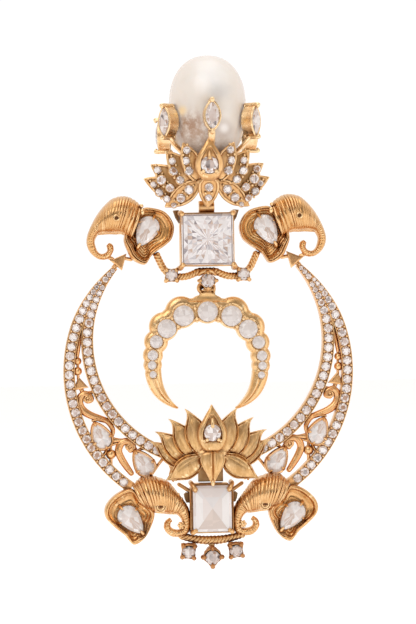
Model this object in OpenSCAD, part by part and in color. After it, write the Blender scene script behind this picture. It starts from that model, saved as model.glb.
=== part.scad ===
// Chandbali earring: pearl in a crown of marquise stones, paved lotus, four
// elephant heads, a double paved crescent and a free crescent drop.
// Millimetres, +Z up, front faces -Y. The origin is the root of the ear post,
// in the middle of the seat that rests on the ear lobe.

/* [Overall] */
// distance from the ear seat to the middle plane of the crescent
seat_to_plane = 4.5; // [4.5:0.1:6.0]
// gap left round every stone in its setting
stone_gap = 0.05; // [0.03:0.01:0.10]
// gap at each joint line between separately cast pieces
cast_gap = 0.06; // [0.04:0.01:0.12]
// points round a smooth wall of a casting
loft_pts = 10; // [10:2:16]

/* [Ear post] */
// radius of the ear post
post_r = 0.45; // [0.40:0.01:0.55]
// length of the ear post behind the seat
post_len = 11; // [9:0.5:13]
// radius of the seat disc
seat_r = 2.3; // [1.8:0.1:3.0]

/* [Pearl and crown] */
// largest radius of the pearl
pearl_r = 6.35; // [6.0:0.05:6.5]
// height of the widest ring of the pearl above the post
pearl_z = 11.05; // [10.8:0.05:11.4]
// height of the pearl above its widest ring
pearl_up = 8.45; // [8.0:0.05:8.8]
// depth of the pearl below its widest ring
pearl_down = 9.4; // [9.0:0.05:9.6]
// distance of the marquise faces from the pearl's axis
marquise_reach = 8.6; // [8.6:0.05:9.2]
// half length of a marquise stone
marquise_half_len = 2.3; // [2.0:0.05:2.5]
// half width of a marquise stone
marquise_half_w = 1.15; // [1.0:0.05:1.25]

/* [Crescent frame] */
// radius of the outer edge
outer_r = 23.93; // [23.5:0.05:24.4]
// height of the centre of the outer edge
outer_z = -32.34; // [-32.6:0.02:-32.0]
// radius of the inner edge
inner_r = 18.98; // [18.7:0.02:19.2]
// height of the centre of the inner edge
inner_z = -27.22; // [-27.4:0.02:-27.0]
// width of the outer band
outer_band_w = 1.85; // [1.6:0.05:2.1]
// width of the inner band
inner_band_w = 1.95; // [1.7:0.05:2.2]
// thickness of the bands
band_t = 2.0; // [1.6:0.1:2.4]
// thickness of the scrolls between the bands
scroll_t = 1.3; // [1.0:0.1:1.6]

/* [Square stone] */
// side of the square stone
square_w = 8.1; // [7.6:0.1:8.4]
// height of its centre
square_z = -10.66; // [-10.8:0.02:-10.5]

/* [Lower stone] */
// width of the oblong stone
oblong_w = 6.4; // [6.0:0.1:6.6]
// height of the oblong stone
oblong_h = 7.65; // [7.2:0.05:7.8]
// height of its centre
oblong_z = -54.85; // [-55.0:0.05:-54.7]

/* [Drop] */
// height of the bar that the drop swings on
hinge_z = -19.35; // [-19.45:0.05:-19.25]
// radius of the bar
bar_r = 0.32; // [0.28:0.01:0.36]
// running clearance on radius between bar and eye
bar_fit = 0.06; // [0.04:0.01:0.10]
// thickness of the drop
drop_t = 2.4; // [2.0:0.1:2.6]

/* [Hidden] */
plane_y = -seat_to_plane;
pearl_y = plane_y - 1.9;
half_t = band_t / 2;
eye_r = 0.85;
eye_half = 0.62;
GOLD = [0.85, 0.62, 0.28];
CLEAR = [0.93, 0.88, 0.88];
NACRE = [0.95, 0.92, 0.87];

// marquise settings round the pearl: turn from the front, height of the centre
MARQUISE = [
    // turn, height
    [0, 9.4], [58, 8.75], [-58, 8.75], [100, 6.55], [-100, 6.55]];

// head and trunk of an upper elephant: outer edge, inner edge, bulge to the
// front, depth behind
UPPER_HEAD = [
    // out_x, out_z, in_x, in_z, front, back
    [10.69, -5.03, 12.51, -10.51, 2.0, 0.9],
    [12.06, -3.91, 13.98, -9.65, 3.3, 1.0],
    [13.54, -3.39, 15.13, -9.55, 3.9, 1.0],
    [15.32, -3.71, 16.12, -9.49, 3.8, 1.0],
    [16.71, -4.79, 17.03, -9.52, 3.2, 0.9],
    [18.11, -6.53, 17.56, -9.56, 2.4, 0.8],
    [19.27, -8.74, 17.94, -9.75, 1.7, 0.7],
    [19.76, -10.38, 18.40, -10.57, 1.3, 0.7],
    [19.62, -11.70, 18.33, -11.39, 1.1, 0.6],
    [18.90, -12.87, 17.98, -12.31, 1.0, 0.6],
    [17.68, -13.65, 17.41, -12.73, 0.9, 0.5],
    [16.32, -13.54, 16.75, -12.58, 0.8, 0.5],
    [15.43, -12.35, 16.43, -12.17, 0.8, 0.5],
    [15.49, -11.36, 16.49, -11.67, 0.7, 0.4],
    [16.06, -10.94, 16.56, -11.43, 0.5, 0.3]];

// head and trunk of a lower elephant
LOWER_HEAD = [
    // out_x, out_z, in_x, in_z, front, back
    [12.88, -50.93, 10.80, -54.76, 2.0, 0.9],
    [11.71, -49.80, 9.98, -55.11, 3.4, 1.0],
    [10.30, -49.33, 9.00, -55.37, 4.0, 1.0],
    [8.63, -49.65, 8.01, -55.47, 3.9, 1.0],
    [6.98, -50.42, 7.20, -55.57, 3.3, 0.9],
    [5.64, -52.05, 6.40, -55.66, 2.6, 0.8],
    [4.60, -53.80, 5.66, -55.84, 1.9, 0.7],
    [4.18, -54.97, 5.10, -56.27, 1.5, 0.6],
    [4.12, -56.38, 4.86, -56.75, 1.2, 0.5],
    [4.14, -57.61, 4.86, -57.50, 1.0, 0.5],
    [4.36, -58.68, 4.98, -58.09, 0.9, 0.5],
    [5.20, -59.25, 5.42, -58.36, 0.8, 0.5],
    [6.59, -59.22, 6.24, -58.31, 0.8, 0.5],
    [7.64, -58.20, 6.85, -57.88, 0.8, 0.5],
    [7.62, -57.05, 6.92, -57.30, 0.7, 0.4],
    [6.79, -56.44, 6.50, -56.92, 0.5, 0.3]];

// edge of an upper ear, from its joint with the head, clockwise
UPPER_EAR = [
    // x, z
    [10.30, -5.30], [8.52, -5.41], [6.95, -5.98], [5.88, -7.16], [5.38, -8.67],
    [5.80, -10.46], [6.85, -11.53], [8.23, -12.46], [9.20, -13.25], [10.18, -14.61],
    [11.42, -14.39], [12.49, -13.61], [13.15, -12.38], [13.70, -10.71], [13.40, -9.17],
    [12.62, -7.53], [11.44, -6.23]];

// edge of a lower ear
LOWER_EAR = [
    // x, z
    [13.09, -51.34], [15.16, -51.88], [16.95, -53.33], [17.64, -54.81], [17.30, -56.28],
    [15.86, -57.78], [14.41, -58.99], [12.95, -60.57], [11.17, -59.62], [9.96, -57.58],
    [9.40, -55.53], [10.13, -54.28], [11.76, -52.93]];

// dish of an ear: size of each ring, its depth in front of the middle plane
EAR_DISH = [
    // size, front
    [0.35, -0.9], [0.86, -0.5], [1.00, 0.7], [0.95, 1.5], [0.80, 0.9], [0.45, 0.1]];

// petals on the right half of the upper lotus; the first and sixth stand in
// the middle
UPPER_PETALS = [
    // base_x, base_z, tip_x, tip_z, half_w, base_front, tip_front, hook
    [0.00, -1.35, 0.00, 5.76, 2.30, 7.1, 8.7, 0.0],
    [1.90, -1.00, 3.88, 5.03, 1.65, 6.4, 7.2, 0.3],
    [3.00, -1.50, 6.44, 3.96, 1.75, 5.6, 5.8, 0.4],
    [3.90, -2.30, 8.99, 1.90, 1.65, 4.6, 4.2, 0.4],
    [4.30, -3.60, 10.14, -0.26, 1.60, 3.6, 2.8, 0.4],
    [0.00, -1.20, 0.00, -5.60, 1.80, 6.4, 3.6, 0.0],
    [1.70, -1.80, 6.60, -5.40, 1.55, 4.8, 2.6, -0.3]];

// petals on the right half of the lower lotus
LOWER_PETALS = [
    // base_x, base_z, tip_x, tip_z, half_w, base_front, tip_front, hook
    [0.00, -45.50, 0.00, -38.00, 2.20, 4.6, 4.4, 0.0],
    [1.90, -45.70, 4.25, -38.80, 1.85, 3.9, 3.6, 0.4],
    [3.20, -46.30, 7.03, -40.13, 1.75, 3.3, 3.0, 0.5],
    [4.20, -47.00, 9.36, -42.25, 1.65, 2.7, 2.4, 0.5],
    [4.60, -47.90, 10.40, -44.14, 1.45, 2.1, 1.9, 0.5],
    [0.00, -45.60, 0.00, -50.87, 1.95, 4.8, 4.4, 0.0],
    [1.60, -46.20, 7.31, -50.36, 1.85, 4.0, 3.6, -0.5]];

// width of a petal along its length
PETAL_FORM = [
    // along, width
    [0.00, 0.35], [0.16, 0.75], [0.42, 1.00], [0.68, 0.80], [0.87, 0.40], [1.00, 0.05]];

// round stones on the right half of the drop
DROP_STONES = [
    // x, z, radius
    [0.00, -22.51, 1.70], [3.96, -23.23, 1.73], [6.73, -25.37, 1.57], [8.47, -27.54, 1.07],
    [9.03, -29.76, 0.86], [9.12, -31.39, 0.71], [8.95, -32.92, 0.58]];

// middle line of the right horn of the drop and its half width
DROP_HORN = [
    // x, z, half_w
    [3.96, -23.23, 2.10], [6.73, -25.37, 1.95], [8.35, -27.70, 1.50], [8.92, -30.00, 1.38],
    [8.92, -32.00, 1.36], [8.62, -33.90, 1.26], [8.00, -35.50, 1.06], [6.95, -36.90, 0.76],
    [5.60, -38.00, 0.38], [4.62, -38.50, 0.10]];

// scrolls on the right of the crescent frame: middle line and half width
SCROLL_1 = [
    // x, z, half_w
    [20.06, -36.90, 0.30], [19.45, -36.72, 0.30], [19.62, -36.02, 0.30], [20.58, -35.68, 0.34],
    [21.36, -36.40, 0.40], [21.44, -37.50, 0.44], [20.76, -38.50, 0.44], [19.55, -39.24, 0.42],
    [18.10, -39.78, 0.38], [16.70, -40.25, 0.34]];
SCROLL_2 = [
    // x, z, half_w
    [13.15, -45.15, 0.30], [12.64, -44.80, 0.30], [12.82, -44.05, 0.32], [13.74, -43.62, 0.38],
    [14.68, -44.00, 0.42], [15.10, -45.11, 0.42], [14.74, -46.28, 0.42], [13.86, -47.70, 0.40],
    [13.06, -48.90, 0.34]];

// small rods of the crescent frame on the right: ends and radius
FRAME_RODS = [
    // x1, z1, x2, z2, radius
    [20.75, -24.60, 21.58, -29.44, 0.30],
    [21.58, -29.44, 21.50, -33.40, 0.24],
    [21.20, -34.60, 20.70, -35.70, 0.36],
    [20.60, -35.60, 18.70, -35.40, 0.28],
    [16.10, -43.20, 14.10, -43.70, 0.36],
    [16.40, -44.40, 16.37, -47.50, 0.28],
    [12.60, -44.50, 12.00, -45.60, 0.34],
    [8.60, -47.60, 7.40, -46.00, 0.45],
    [9.90, -48.70, 8.90, -49.30, 0.40]];

// beads between the bands on the right
FRAME_BEADS = [
    // x, z, radius
    [21.60, -30.31, 0.52], [21.60, -31.96, 0.58], [16.37, -45.72, 0.68], [20.40, -36.25, 0.30]];

// pear stones: tip, far end, half width
FRAME_PEARS = [
    // tip_x, tip_z, end_x, end_z, half_w
    [19.20, -40.45, 17.10, -44.55, 1.42],
    [12.24, -45.55, 9.95, -49.00, 1.45]];
UPPER_EAR_PEAR = [
    // tip_x, tip_z, end_x, end_z, half_w
    11.15, -11.50, 9.02, -6.45, 1.82];
LOWER_EAR_PEAR = [
    // tip_x, tip_z, end_x, end_z, half_w
    11.55, -58.55, 14.85, -54.45, 1.75];

// round stones of the upper garland: x, z, radius
GARLAND_STONES = [
    // x, z, radius
    [0.00, -17.45, 1.10], [5.96, -16.45, 0.95], [-5.96, -16.45, 0.95]];
// right half of the upper rope
GARLAND_ROPE = [
    // x, z
    [8.30, -12.95], [7.75, -14.20], [7.10, -15.40], [5.96, -16.45], [4.60, -16.72],
    [3.40, -16.66], [2.30, -16.30], [1.35, -15.88], [0.00, -15.85]];

// round stones at the foot: x, z, radius
BOTTOM_STONES = [
    // x, z, radius
    [0.00, -62.95, 1.12], [3.92, -61.95, 0.95], [-3.92, -61.95, 0.95]];
// right half of the lower rope
LOWER_ROPE = [
    // x, z
    [5.10, -59.62], [4.20, -59.95], [3.00, -60.30], [1.50, -60.56], [0.00, -60.66]];

// small flat triangles at the arm tips on the right: corners
ARM_TRIANGLE = [
    // x, z
    [13.38, -13.00], [15.84, -13.95], [14.05, -15.55]];
FRAME_TRIANGLE = [
    // x, z
    [21.40, -33.10], [22.30, -35.05], [20.00, -34.62]];

// ---------------------------------------------------------------- helpers

function mix(a, b, t) = a + (b - a) * t;
function curve(p, q, r, s, t) = 0.5 * ((2 * q) + (r - p) * t + (2 * p - 5 * q + 4 * r - s) * t * t
    + (3 * q - p - 3 * r + s) * t * t * t);
// smooth closed loop through the rows of a table
function loop(P, n) = [for (i = [0 : len(P) - 1]) for (k = [0 : n - 1])
    curve(P[(i - 1 + len(P)) % len(P)], P[i], P[(i + 1) % len(P)], P[(i + 2) % len(P)], k / n)];
// smooth open line through the rows of a table
function line(P, n) = concat([for (i = [0 : len(P) - 2]) for (k = [0 : n - 1])
    curve(P[max(i - 1, 0)], P[i], P[i + 1], P[min(i + 2, len(P) - 1)], k / n)], [P[len(P) - 1]]);
function unit(v) = v / max(norm(v), 0.000001);
function side(P, i) = let (a = P[max(i - 1, 0)], b = P[min(i + 1, len(P) - 1)],
    d = unit([b[0] - a[0], b[1] - a[1]])) [-d[1], d[0]];
// outline of a ribbon from its middle line and half widths
function ribbon_edge(P) = concat(
    [for (i = [0 : len(P) - 1]) [P[i][0], P[i][1]] + side(P, i) * P[i][2]],
    [for (i = [len(P) - 1 : -1 : 0]) [P[i][0], P[i][1]] - side(P, i) * P[i][2]]);
// outline of a pear stone, grown by g
function pear_edge(R, g, n = 28) = let (tip = [R[0], R[1]], end = [R[2], R[3]], d = unit(tip - end),
    s = [-d[1], d[0]], w = R[4] + g, c = end + d * R[4], L = norm(tip - c) + 1.35 * g)
    [for (i = [0 : n - 1]) let (a = i * 360 / n, u = cos(a), v = sin(a))
        c + s * w * v * (u > 0 ? pow(max(1 - pow(u, 1.5), 0.0001), 0.62) / max(abs(v), 0.0001) * 1 : 1)
          + d * (u > 0 ? L * u : w * u)];

module flat(front, back) // plan in X and Z, from front to back of the middle plane
    translate([0, plane_y + back, 0]) rotate([90, 0, 0]) linear_extrude(height = front + back) children();
module disc(x, z, r, front, back, fn = 48)
    translate([x, plane_y + back, z]) rotate([90, 0, 0]) cylinder(r = r, h = front + back, $fn = fn);
module rod(a, b, r, fn = 20) {
    d = b - a;
    translate(a) rotate([0, acos(d[2] / norm(d)), atan2(d[1], d[0])]) cylinder(r = r, h = norm(d), $fn = fn);
}
module skin(Q, turn = false) { // closed wall through rings of points
    n = len(Q[0]); m = len(Q);
    R = [for (r = Q) turn ? [for (j = [n - 1 : -1 : 0]) r[j]] : r];
    polyhedron(points = [for (r = R) for (p = r) p],
        faces = concat([[for (j = [n - 1 : -1 : 0]) j]],
            [for (i = [0 : m - 2]) for (j = [0 : n - 1]) [i * n + j, i * n + (j + 1) % n, (i + 1) * n + j]],
            [for (i = [0 : m - 2]) for (j = [0 : n - 1]) [i * n + (j + 1) % n, (i + 1) * n + (j + 1) % n, (i + 1) * n + j]],
            [[for (j = [0 : n - 1]) (m - 1) * n + j]]));
}
module both() { children(); mirror([1, 0, 0]) children(); }

// round stone: table, crown, girdle and pavilion, its girdle front at y
module round_stone(x, z, r, y, g = 0)
    translate([x, plane_y - y, z]) rotate([90, 0, 0]) rotate_extrude($fn = 40)
        polygon([[0, -0.62 * r - g], [0.35 * r + g, -0.62 * r - g], [r + g, -0.10 * r - g], [r + g, 0.06 * r],
            [0.58 * r + g, 0.34 * r + g], [0, 0.34 * r + g]]);
// cup that holds a round stone, with claws
module stone_cup(x, z, r, y, back, claws = 4, turn = 45) {
    difference() {
        disc(x, z, r + 0.22, y - 0.10 * r, back, 36);
        disc(x, z, r - 0.30, y + 1, back + 1, 36);
        round_stone(x, z, r, y, stone_gap);
    }
    for (k = [0 : claws - 1]) let (a = turn + k * 360 / claws, q = r + 0.30)
        difference() {
            disc(x + q * cos(a), z + q * sin(a), 0.30, y + 0.30 * r, back, 16);
            round_stone(x, z, r, y, stone_gap);
        }
}
module pear_stone(R, y) {
    flat_at(y, 0.7) polygon(pear_edge(R, 0));
    flat_at(y + 0.35, 0.36) polygon(pear_edge(R, -0.42));
}
module flat_at(front, t) // slab of thickness t whose front is at this depth
    translate([0, plane_y - front + t, 0]) rotate([90, 0, 0]) linear_extrude(height = t) children();

// ---------------------------------------------------------------- top

module ear_post() color(GOLD) {
    rotate([-90, 0, 0]) rotate_extrude($fn = 48)
        polygon([[0, -0.9], [seat_r - 0.3, -0.9], [seat_r, -0.6], [seat_r, -0.2], [seat_r - 0.2, 0],
            [post_r, 0], [post_r, post_len - 0.3], [post_r - 0.2, post_len], [0, post_len]]);
}

function pearl_w(z) = let (t = min(abs(z - pearl_z) / (z > pearl_z ? pearl_up : pearl_down), 1))
    pearl_r * pow(1 - pow(t, 2.25), 1 / 2.25);
function pearl_edge(g) = [for (i = [0 : 28]) let (a = -90 + i * 180 / 28,
    z = pearl_z + sin(a) * (a > 0 ? pearl_up : pearl_down)) [max(pearl_w(z) + (abs(a) == 90 ? 0 : g), 0), z + g * sin(a)]];

module pearl() color(NACRE)
    translate([0, pearl_y, 0]) rotate_extrude($fn = 64) polygon(pearl_edge(0));

module marquise_plan(g) intersection() {
    q = (pow(marquise_half_len, 2) - pow(marquise_half_w, 2)) / (2 * marquise_half_w);
    translate([q, 0]) circle(r = q + marquise_half_w + g, $fn = 64);
    translate([-q, 0]) circle(r = q + marquise_half_w + g, $fn = 64);
}
module marquise_at(M) translate([0, pearl_y, M[1]]) rotate([0, 0, M[0]])
    translate([0, -marquise_reach, 0]) rotate([90, 0, 0]) children();
module marquise_stone(k) color(CLEAR) marquise_at(MARQUISE[k]) {
    translate([0, 0, -0.7]) linear_extrude(height = 0.7) marquise_plan(0);
    translate([0, 0, -0.01]) linear_extrude(height = 0.3) marquise_plan(-0.4);
}

// flat strip between two points of a plane through the pearl's axis
module strip(r1, z1, r2, z2, w, t) translate([0, -r1, z1]) rotate([-atan2(r2 - r1, z2 - z1) * -1, 0, 0])
    translate([-w / 2, -t / 2, -0.15]) cube([w, t, norm([r2 - r1, z2 - z1]) + 0.3]);
// stems from the cup up to the marquise settings, grown by g
module stems(g) for (M = MARQUISE)
    let (top = M[1] - marquise_half_len - 0.6, z = [1.6, mix(1.6, top, 0.5), mix(1.6, top, 0.8), top],
        r = [4.45, pearl_w(z[1]) + 0.45, pearl_w(z[2]) + 0.45, marquise_reach - 1.4])
        translate([0, pearl_y, 0]) rotate([0, 0, M[0]]) for (i = [0 : 2])
            strip(r[i], z[i], r[i + 1], z[i + 1], 1.1 + 2 * g, 0.55 + 2 * g);
module crown() color(GOLD) difference() {
    union() {
        // cup under the pearl
        translate([0, pearl_y, 0]) rotate_extrude($fn = 64)
            polygon([[0, -1.2], [2.2, -1.2], [3.2, -0.4], [4.3, 1.2], [4.9, 2.7], [4.3, 2.7], [0, 0.4]]);
        for (M = MARQUISE) {
            // wall of the setting
            marquise_at(M) translate([0, 0, -2.0]) linear_extrude(height = 2.0) marquise_plan(0.28);
            // claws at its points
            for (s = [-1, 1]) marquise_at(M) translate([0, s * (marquise_half_len + 0.42), -2.0])
                cylinder(r = 0.34, h = 2.3, $fn = 20);
        }
        stems(0);
        // boss that carries the seat of the post
        rotate([-90, 0, 0]) translate([0, 0, pearl_y + 2]) cylinder(r = 1.8, h = -pearl_y - 2 - 0.9 - cast_gap, $fn = 48);
    }
    translate([0, pearl_y, 0]) rotate_extrude($fn = 64) polygon(pearl_edge(0.10));
    for (M = MARQUISE) marquise_at(M) {
        translate([0, 0, -0.75]) linear_extrude(height = 2) marquise_plan(stone_gap + 0.02);
        translate([0, 0, -2.2]) linear_extrude(height = 2) marquise_plan(-0.35);
    }
    seat_space();
}
// room kept for the seat disc and for the paved lotus
module seat_space() rotate([-90, 0, 0]) translate([0, 0, -0.9 - cast_gap])
    cylinder(r = seat_r + cast_gap, h = 4, $fn = 32);

// one petal, its wall a ridge with two slopes
module petal(R, thick) {
    b = [R[0], R[1]]; t = [R[2], R[3]]; d = unit(t - b); s = [d[1], -d[0]];
    skin(turn = true, Q = [for (F = PETAL_FORM) let (
        c = mix(b, t, F[0]) + s * R[7] * pow(F[0], 3) * (R[0] == 0 ? 0 : 1), w = R[4] * F[1],
        y = plane_y - mix(R[5], R[6], F[0]) + 1.2 * pow(max(abs(F[0] - 0.5) * 2, 0), 2) * 0.3, k = max(F[1], 0.3))
        [[c[0] - s[0] * w, y, c[1] - s[1] * w],
         [c[0] - s[0] * w * 0.5, y - thick * 0.75 * k, c[1] - s[1] * w * 0.5],
         [c[0] + s[0] * w * 0.5, y - thick * 0.75 * k, c[1] + s[1] * w * 0.5],
         [c[0] + s[0] * w, y, c[1] + s[1] * w],
         [c[0], y + thick * 0.5 * k, c[1]]]]);
}
module bead(x, z, r, front, back = 0) hull() {
    translate([x, plane_y - front, z]) sphere(r = r, $fn = 6);
    translate([x, plane_y + back, z]) sphere(r = r, $fn = 6);
}

module upper_lotus() color(GOLD) difference() {
    union() {
        petal(UPPER_PETALS[0], 1.1);
        petal(UPPER_PETALS[5], 1.0);
        both() for (i = [1, 2, 3, 4, 6]) petal(UPPER_PETALS[i], 1.0);
        // heart behind the petals
        hull() {
            translate([0, plane_y - 6.329, -1.468]) scale([1, 0.5, 0.9]) sphere(r = 1.899, $fn = 12);
            both() translate([3.876, plane_y - 3.75, -2.384]) sphere(r = 1.1, $fn = 8);
        }
        // ribs that carry the side petals
        both() hull() {
            translate([3.197, plane_y - 4.026, -2.213]) sphere(r = 0.8, $fn = 6);
            translate([6.4, plane_y - 3.227, -2.023]) sphere(r = 0.6, $fn = 6);
        }
        both() hull() {
            translate([2.03, plane_y - 5.923, -1.009]) sphere(r = 0.9, $fn = 6);
            translate([4.9, plane_y - 5.104, 0.218]) sphere(r = 0.7, $fn = 6);
        }
        // claws of the middle stone
        bead(0, 2.80, 0.32, 9.1, -7.8);
        both() bead(0.95, 0.10, 0.28, 9.0, -7.4);
    }
    round_stone(0, 1.24, 1.42, 8.45, stone_gap);
    // joint lines to the cup, the stems and the square setting
    translate([0, pearl_y, 0]) rotate_extrude($fn = 32)
        polygon([[0, -1.2 - cast_gap], [2.2 + cast_gap, -1.2 - cast_gap], [3.2 + cast_gap, -0.4 - cast_gap],
            [4.3 + cast_gap, 1.2], [4.9 + cast_gap, 2.7], [5.8, 8], [0, 8]]);
    stems(cast_gap);
    marquise_at(MARQUISE[0]) translate([0, -marquise_half_len - 0.42, -2.2]) cylinder(r = 0.34 + cast_gap, h = 3, $fn = 12);
    flat(2.2, 3) square([3.4, 12.4], center = true);
}
module upper_lotus_stone() color(CLEAR) round_stone(0, 1.24, 1.42, 8.45);

// ---------------------------------------------------------------- square stone

module square_setting() color(GOLD) {
    h = square_w / 2; o = h + 0.55;
    difference() {
        union() {
            flat(1.1, 1.0) translate([-o, square_z - o]) square(2 * o);
            both() flat(2.9, 1.0) translate([h + 0.12, square_z - o]) square([0.43, 2 * o]);
            for (s = [-1, 1]) flat(2.9, 1.0) translate([-o, square_z + (s > 0 ? h + 0.12 : -o)]) square([2 * o, 0.43]);
        }
        flat(4, 2) translate([-h + 0.9, square_z - h + 0.9]) square(square_w - 1.8);
        flat(4, -1.0) translate([-h - 0.06, square_z - h - 0.06]) square(square_w + 0.12);
    }
    // corner claws
    for (sx = [-1, 1]) for (sz = [-1, 1]) difference() {
        disc(sx * (h + 0.42), square_z + sz * (h + 0.42), 0.46, 3.75, 0.6, 20);
        flat(3.4, -1.0) translate([-h - 0.06, square_z - h - 0.06]) square(square_w + 0.12);
    }
    // neck up to the lotus
    flat(2.0, 0.6) translate([-1.25, square_z + o - 0.1]) square([2.5, 1.9]);
    // dark little links towards the ears
    both() flat(0.5, 0.7) polygon([[4.5, -5.75], [5.45, -5.80], [5.05, -7.0], [4.5, -7.9]]);
}
module square_stone() color(CLEAR) {
    h = square_w / 2;
    flat_at(3.3, 2.2) translate([-h, square_z - h]) square(square_w);
    flat_at(3.9, 0.61) translate([-h + 1.0, square_z - h + 1.0]) square(square_w - 2);
}

// ---------------------------------------------------------------- elephants

function head_ring(S) = [for (j = [0 : loft_pts - 1]) let (a = 360 * j / loft_pts,
    c = [(S[0] + S[2]) / 2, (S[1] + S[3]) / 2], h = [(S[0] - S[2]) / 2, (S[1] - S[3]) / 2])
    [c[0] + h[0] * cos(a), plane_y - 0.6 - sin(a) * (sin(a) > 0 ? S[4] : S[5]), c[1] + h[1] * cos(a)]];
module ear(E, lift, n, turn) {
    P = loop(E, n);
    c = [for (k = [0, 1]) let (s = [for (p = P) p[k]]) (max(s) + min(s)) / 2];
    skin(turn = turn, Q = [for (D = EAR_DISH) [for (p = P)
        [mix(c[0], p[0], D[0]), plane_y - lift - D[1], mix(c[1], p[1], D[0])]]]);
}
module elephant(H, E, pear, eye, n, turn) color(GOLD) difference() {
    union() {
        skin([for (S = H) head_ring(S)], turn);
        ear(E, 0.37, n, turn);
        // eye ring
        hull() for (k = [0, 1]) translate([eye[0], plane_y - eye[2] + 0.5 * k, eye[1]]) rotate([90, 0, 0])
            cylinder(r = 0.6 + 0.2 * k, h = 0.2, $fn = 8);
        // rolled joint between head and ear
        for (k = [1, 2]) hull() for (q = [k, k + 1]) let (J = H[0], t = q / 3)
            translate([mix(J[0], J[2], t), plane_y - 2.145, mix(J[1], J[3], t)]) sphere(r = 0.509, $fn = 6);
        // bed and claws of the pear stone
        hull() { flat_at(1.2, 0.2) polygon(pear_edge(pear, 0.25, 14)); flat_at(0.0, 0.2) polygon(pear_edge(pear, 0.1, 14)); }
        let (tip = [pear[0], pear[1]], end = [pear[2], pear[3]], d = unit(tip - end), w = [-d[1], d[0]], m = end + d * pear[4])
            for (q = [tip + d * 0.3, end - d * 0.25, m + w * (pear[4] + 0.22), m - w * (pear[4] + 0.22)])
                bead(q[0], q[1], 0.34, 2.0, 0);
    }
    hull() translate([eye[0], plane_y - eye[2] - 0.4, eye[1]]) sphere(r = 0.4, $fn = 6);
    flat_at(4.5, 3.35) polygon(pear_edge(pear, stone_gap + 0.02));
    children();
}
module pear_in_ear(R) color(CLEAR) {
    flat_at(1.85, 0.62) polygon(pear_edge(R, 0));
    flat_at(2.15, 0.31) polygon(pear_edge(R, -0.45));
}
module elephant_upper() elephant(UPPER_HEAD, UPPER_EAR, UPPER_EAR_PEAR, [15.0, -7.0, 4.3], 1, true) {
    grown_links();
    grown_garland_ends();
    grown_triangle();
}
module elephant_lower() elephant(LOWER_HEAD, LOWER_EAR, LOWER_EAR_PEAR, [8.35, -54.35, 4.3], 2, false) {
    band_end_space();
    lower_rope_space();
    lower_pear_space();
    flat(5, 4) translate([-4.05, -62]) square([8.1, 12.6]);
}

// ---------------------------------------------------------------- joint spaces

module grown_links() flat(0.5 + cast_gap, 0.7 + cast_gap)
    polygon([[4.0, -5.6], [5.53, -5.72], [5.13, -7.04], [4.0, -8.6]]);
module grown_garland_ends() rod([8.30, plane_y - 0.2, -12.95], [7.75, plane_y - 0.2, -14.20], 0.62, 16);
module grown_triangle() flat(0.55 + cast_gap, 0.55 + cast_gap)
    polygon([[13.30, -12.90], [15.98, -13.92], [14.02, -15.70]]);
module band_end_space() difference() {
    flat(half_t + cast_gap, half_t + cast_gap) intersection() {
        difference() {
            translate([0, outer_z]) circle(r = outer_r + cast_gap, $fn = 120);
            translate([0, outer_z]) circle(r = outer_r - outer_band_w - cast_gap, $fn = 120);
        }
        translate([10.4, -60]) square([12, 12.0]);
    }
}
module lower_rope_space() rod([5.6, plane_y - 0.4, -59.4], [3.5, plane_y - 0.4, -60.2], 0.74, 16);
module lower_pear_space() flat(2.4, 2) polygon(pear_edge(FRAME_PEARS[1], 0.48));

// ---------------------------------------------------------------- upper garland

module rope(P, r, y) {
    for (i = [0 : len(P) - 2]) rod([P[i][0], plane_y - y, P[i][1]], [P[i + 1][0], plane_y - y, P[i + 1][1]], r);
    for (i = [0 : len(P) - 1]) translate([P[i][0], plane_y - y, P[i][1]]) sphere(r = r * 1.12, $fn = 20);
}
module cast_rope(P, r, y) for (i = [0 : len(P) - 2]) hull() for (k = [i, i + 1])
    translate([P[k][0], plane_y - y, P[k][1]]) sphere(r = r, $fn = 16);
module upper_garland() color(GOLD) {
    difference() {
        both() rope(GARLAND_ROPE, 0.40, 0.2);
        for (S = GARLAND_STONES) disc(S[0], S[1], S[2] + 0.05, 3, 0.62, 36);
    }
    stone_cup(0, -17.45, 1.10, 1.85, -0.95, 4, 0);
    rod([0, plane_y - 0.2, -15.9], [0, plane_y - 1.25, -16.6], 0.4);
    both() stone_cup(5.96, -16.45, 0.95, 1.45, 0.3, 4, 45);
    // two ears that carry the bar of the drop
    both() hull_free_lug();
    translate([-1.3, plane_y, hinge_z]) rotate([0, 90, 0]) cylinder(r = bar_r, h = 2.6, $fn = 32);
}
module hull_free_lug() {
    translate([0.82, plane_y, hinge_z]) rotate([0, 90, 0]) cylinder(r = 0.62, h = 0.45, $fn = 32);
    translate([0.82, plane_y - 0.42, hinge_z]) cube([0.45, 0.84, 1.7]);
    translate([0.82, plane_y - 1.3, -18.35]) cube([0.45, 1.72, 1.2]);
}
module garland_stone(k) color(CLEAR) round_stone(GARLAND_STONES[k][0], GARLAND_STONES[k][1], GARLAND_STONES[k][2], k == 0 ? 1.85 : 1.45);

// ---------------------------------------------------------------- crescent frame

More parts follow.
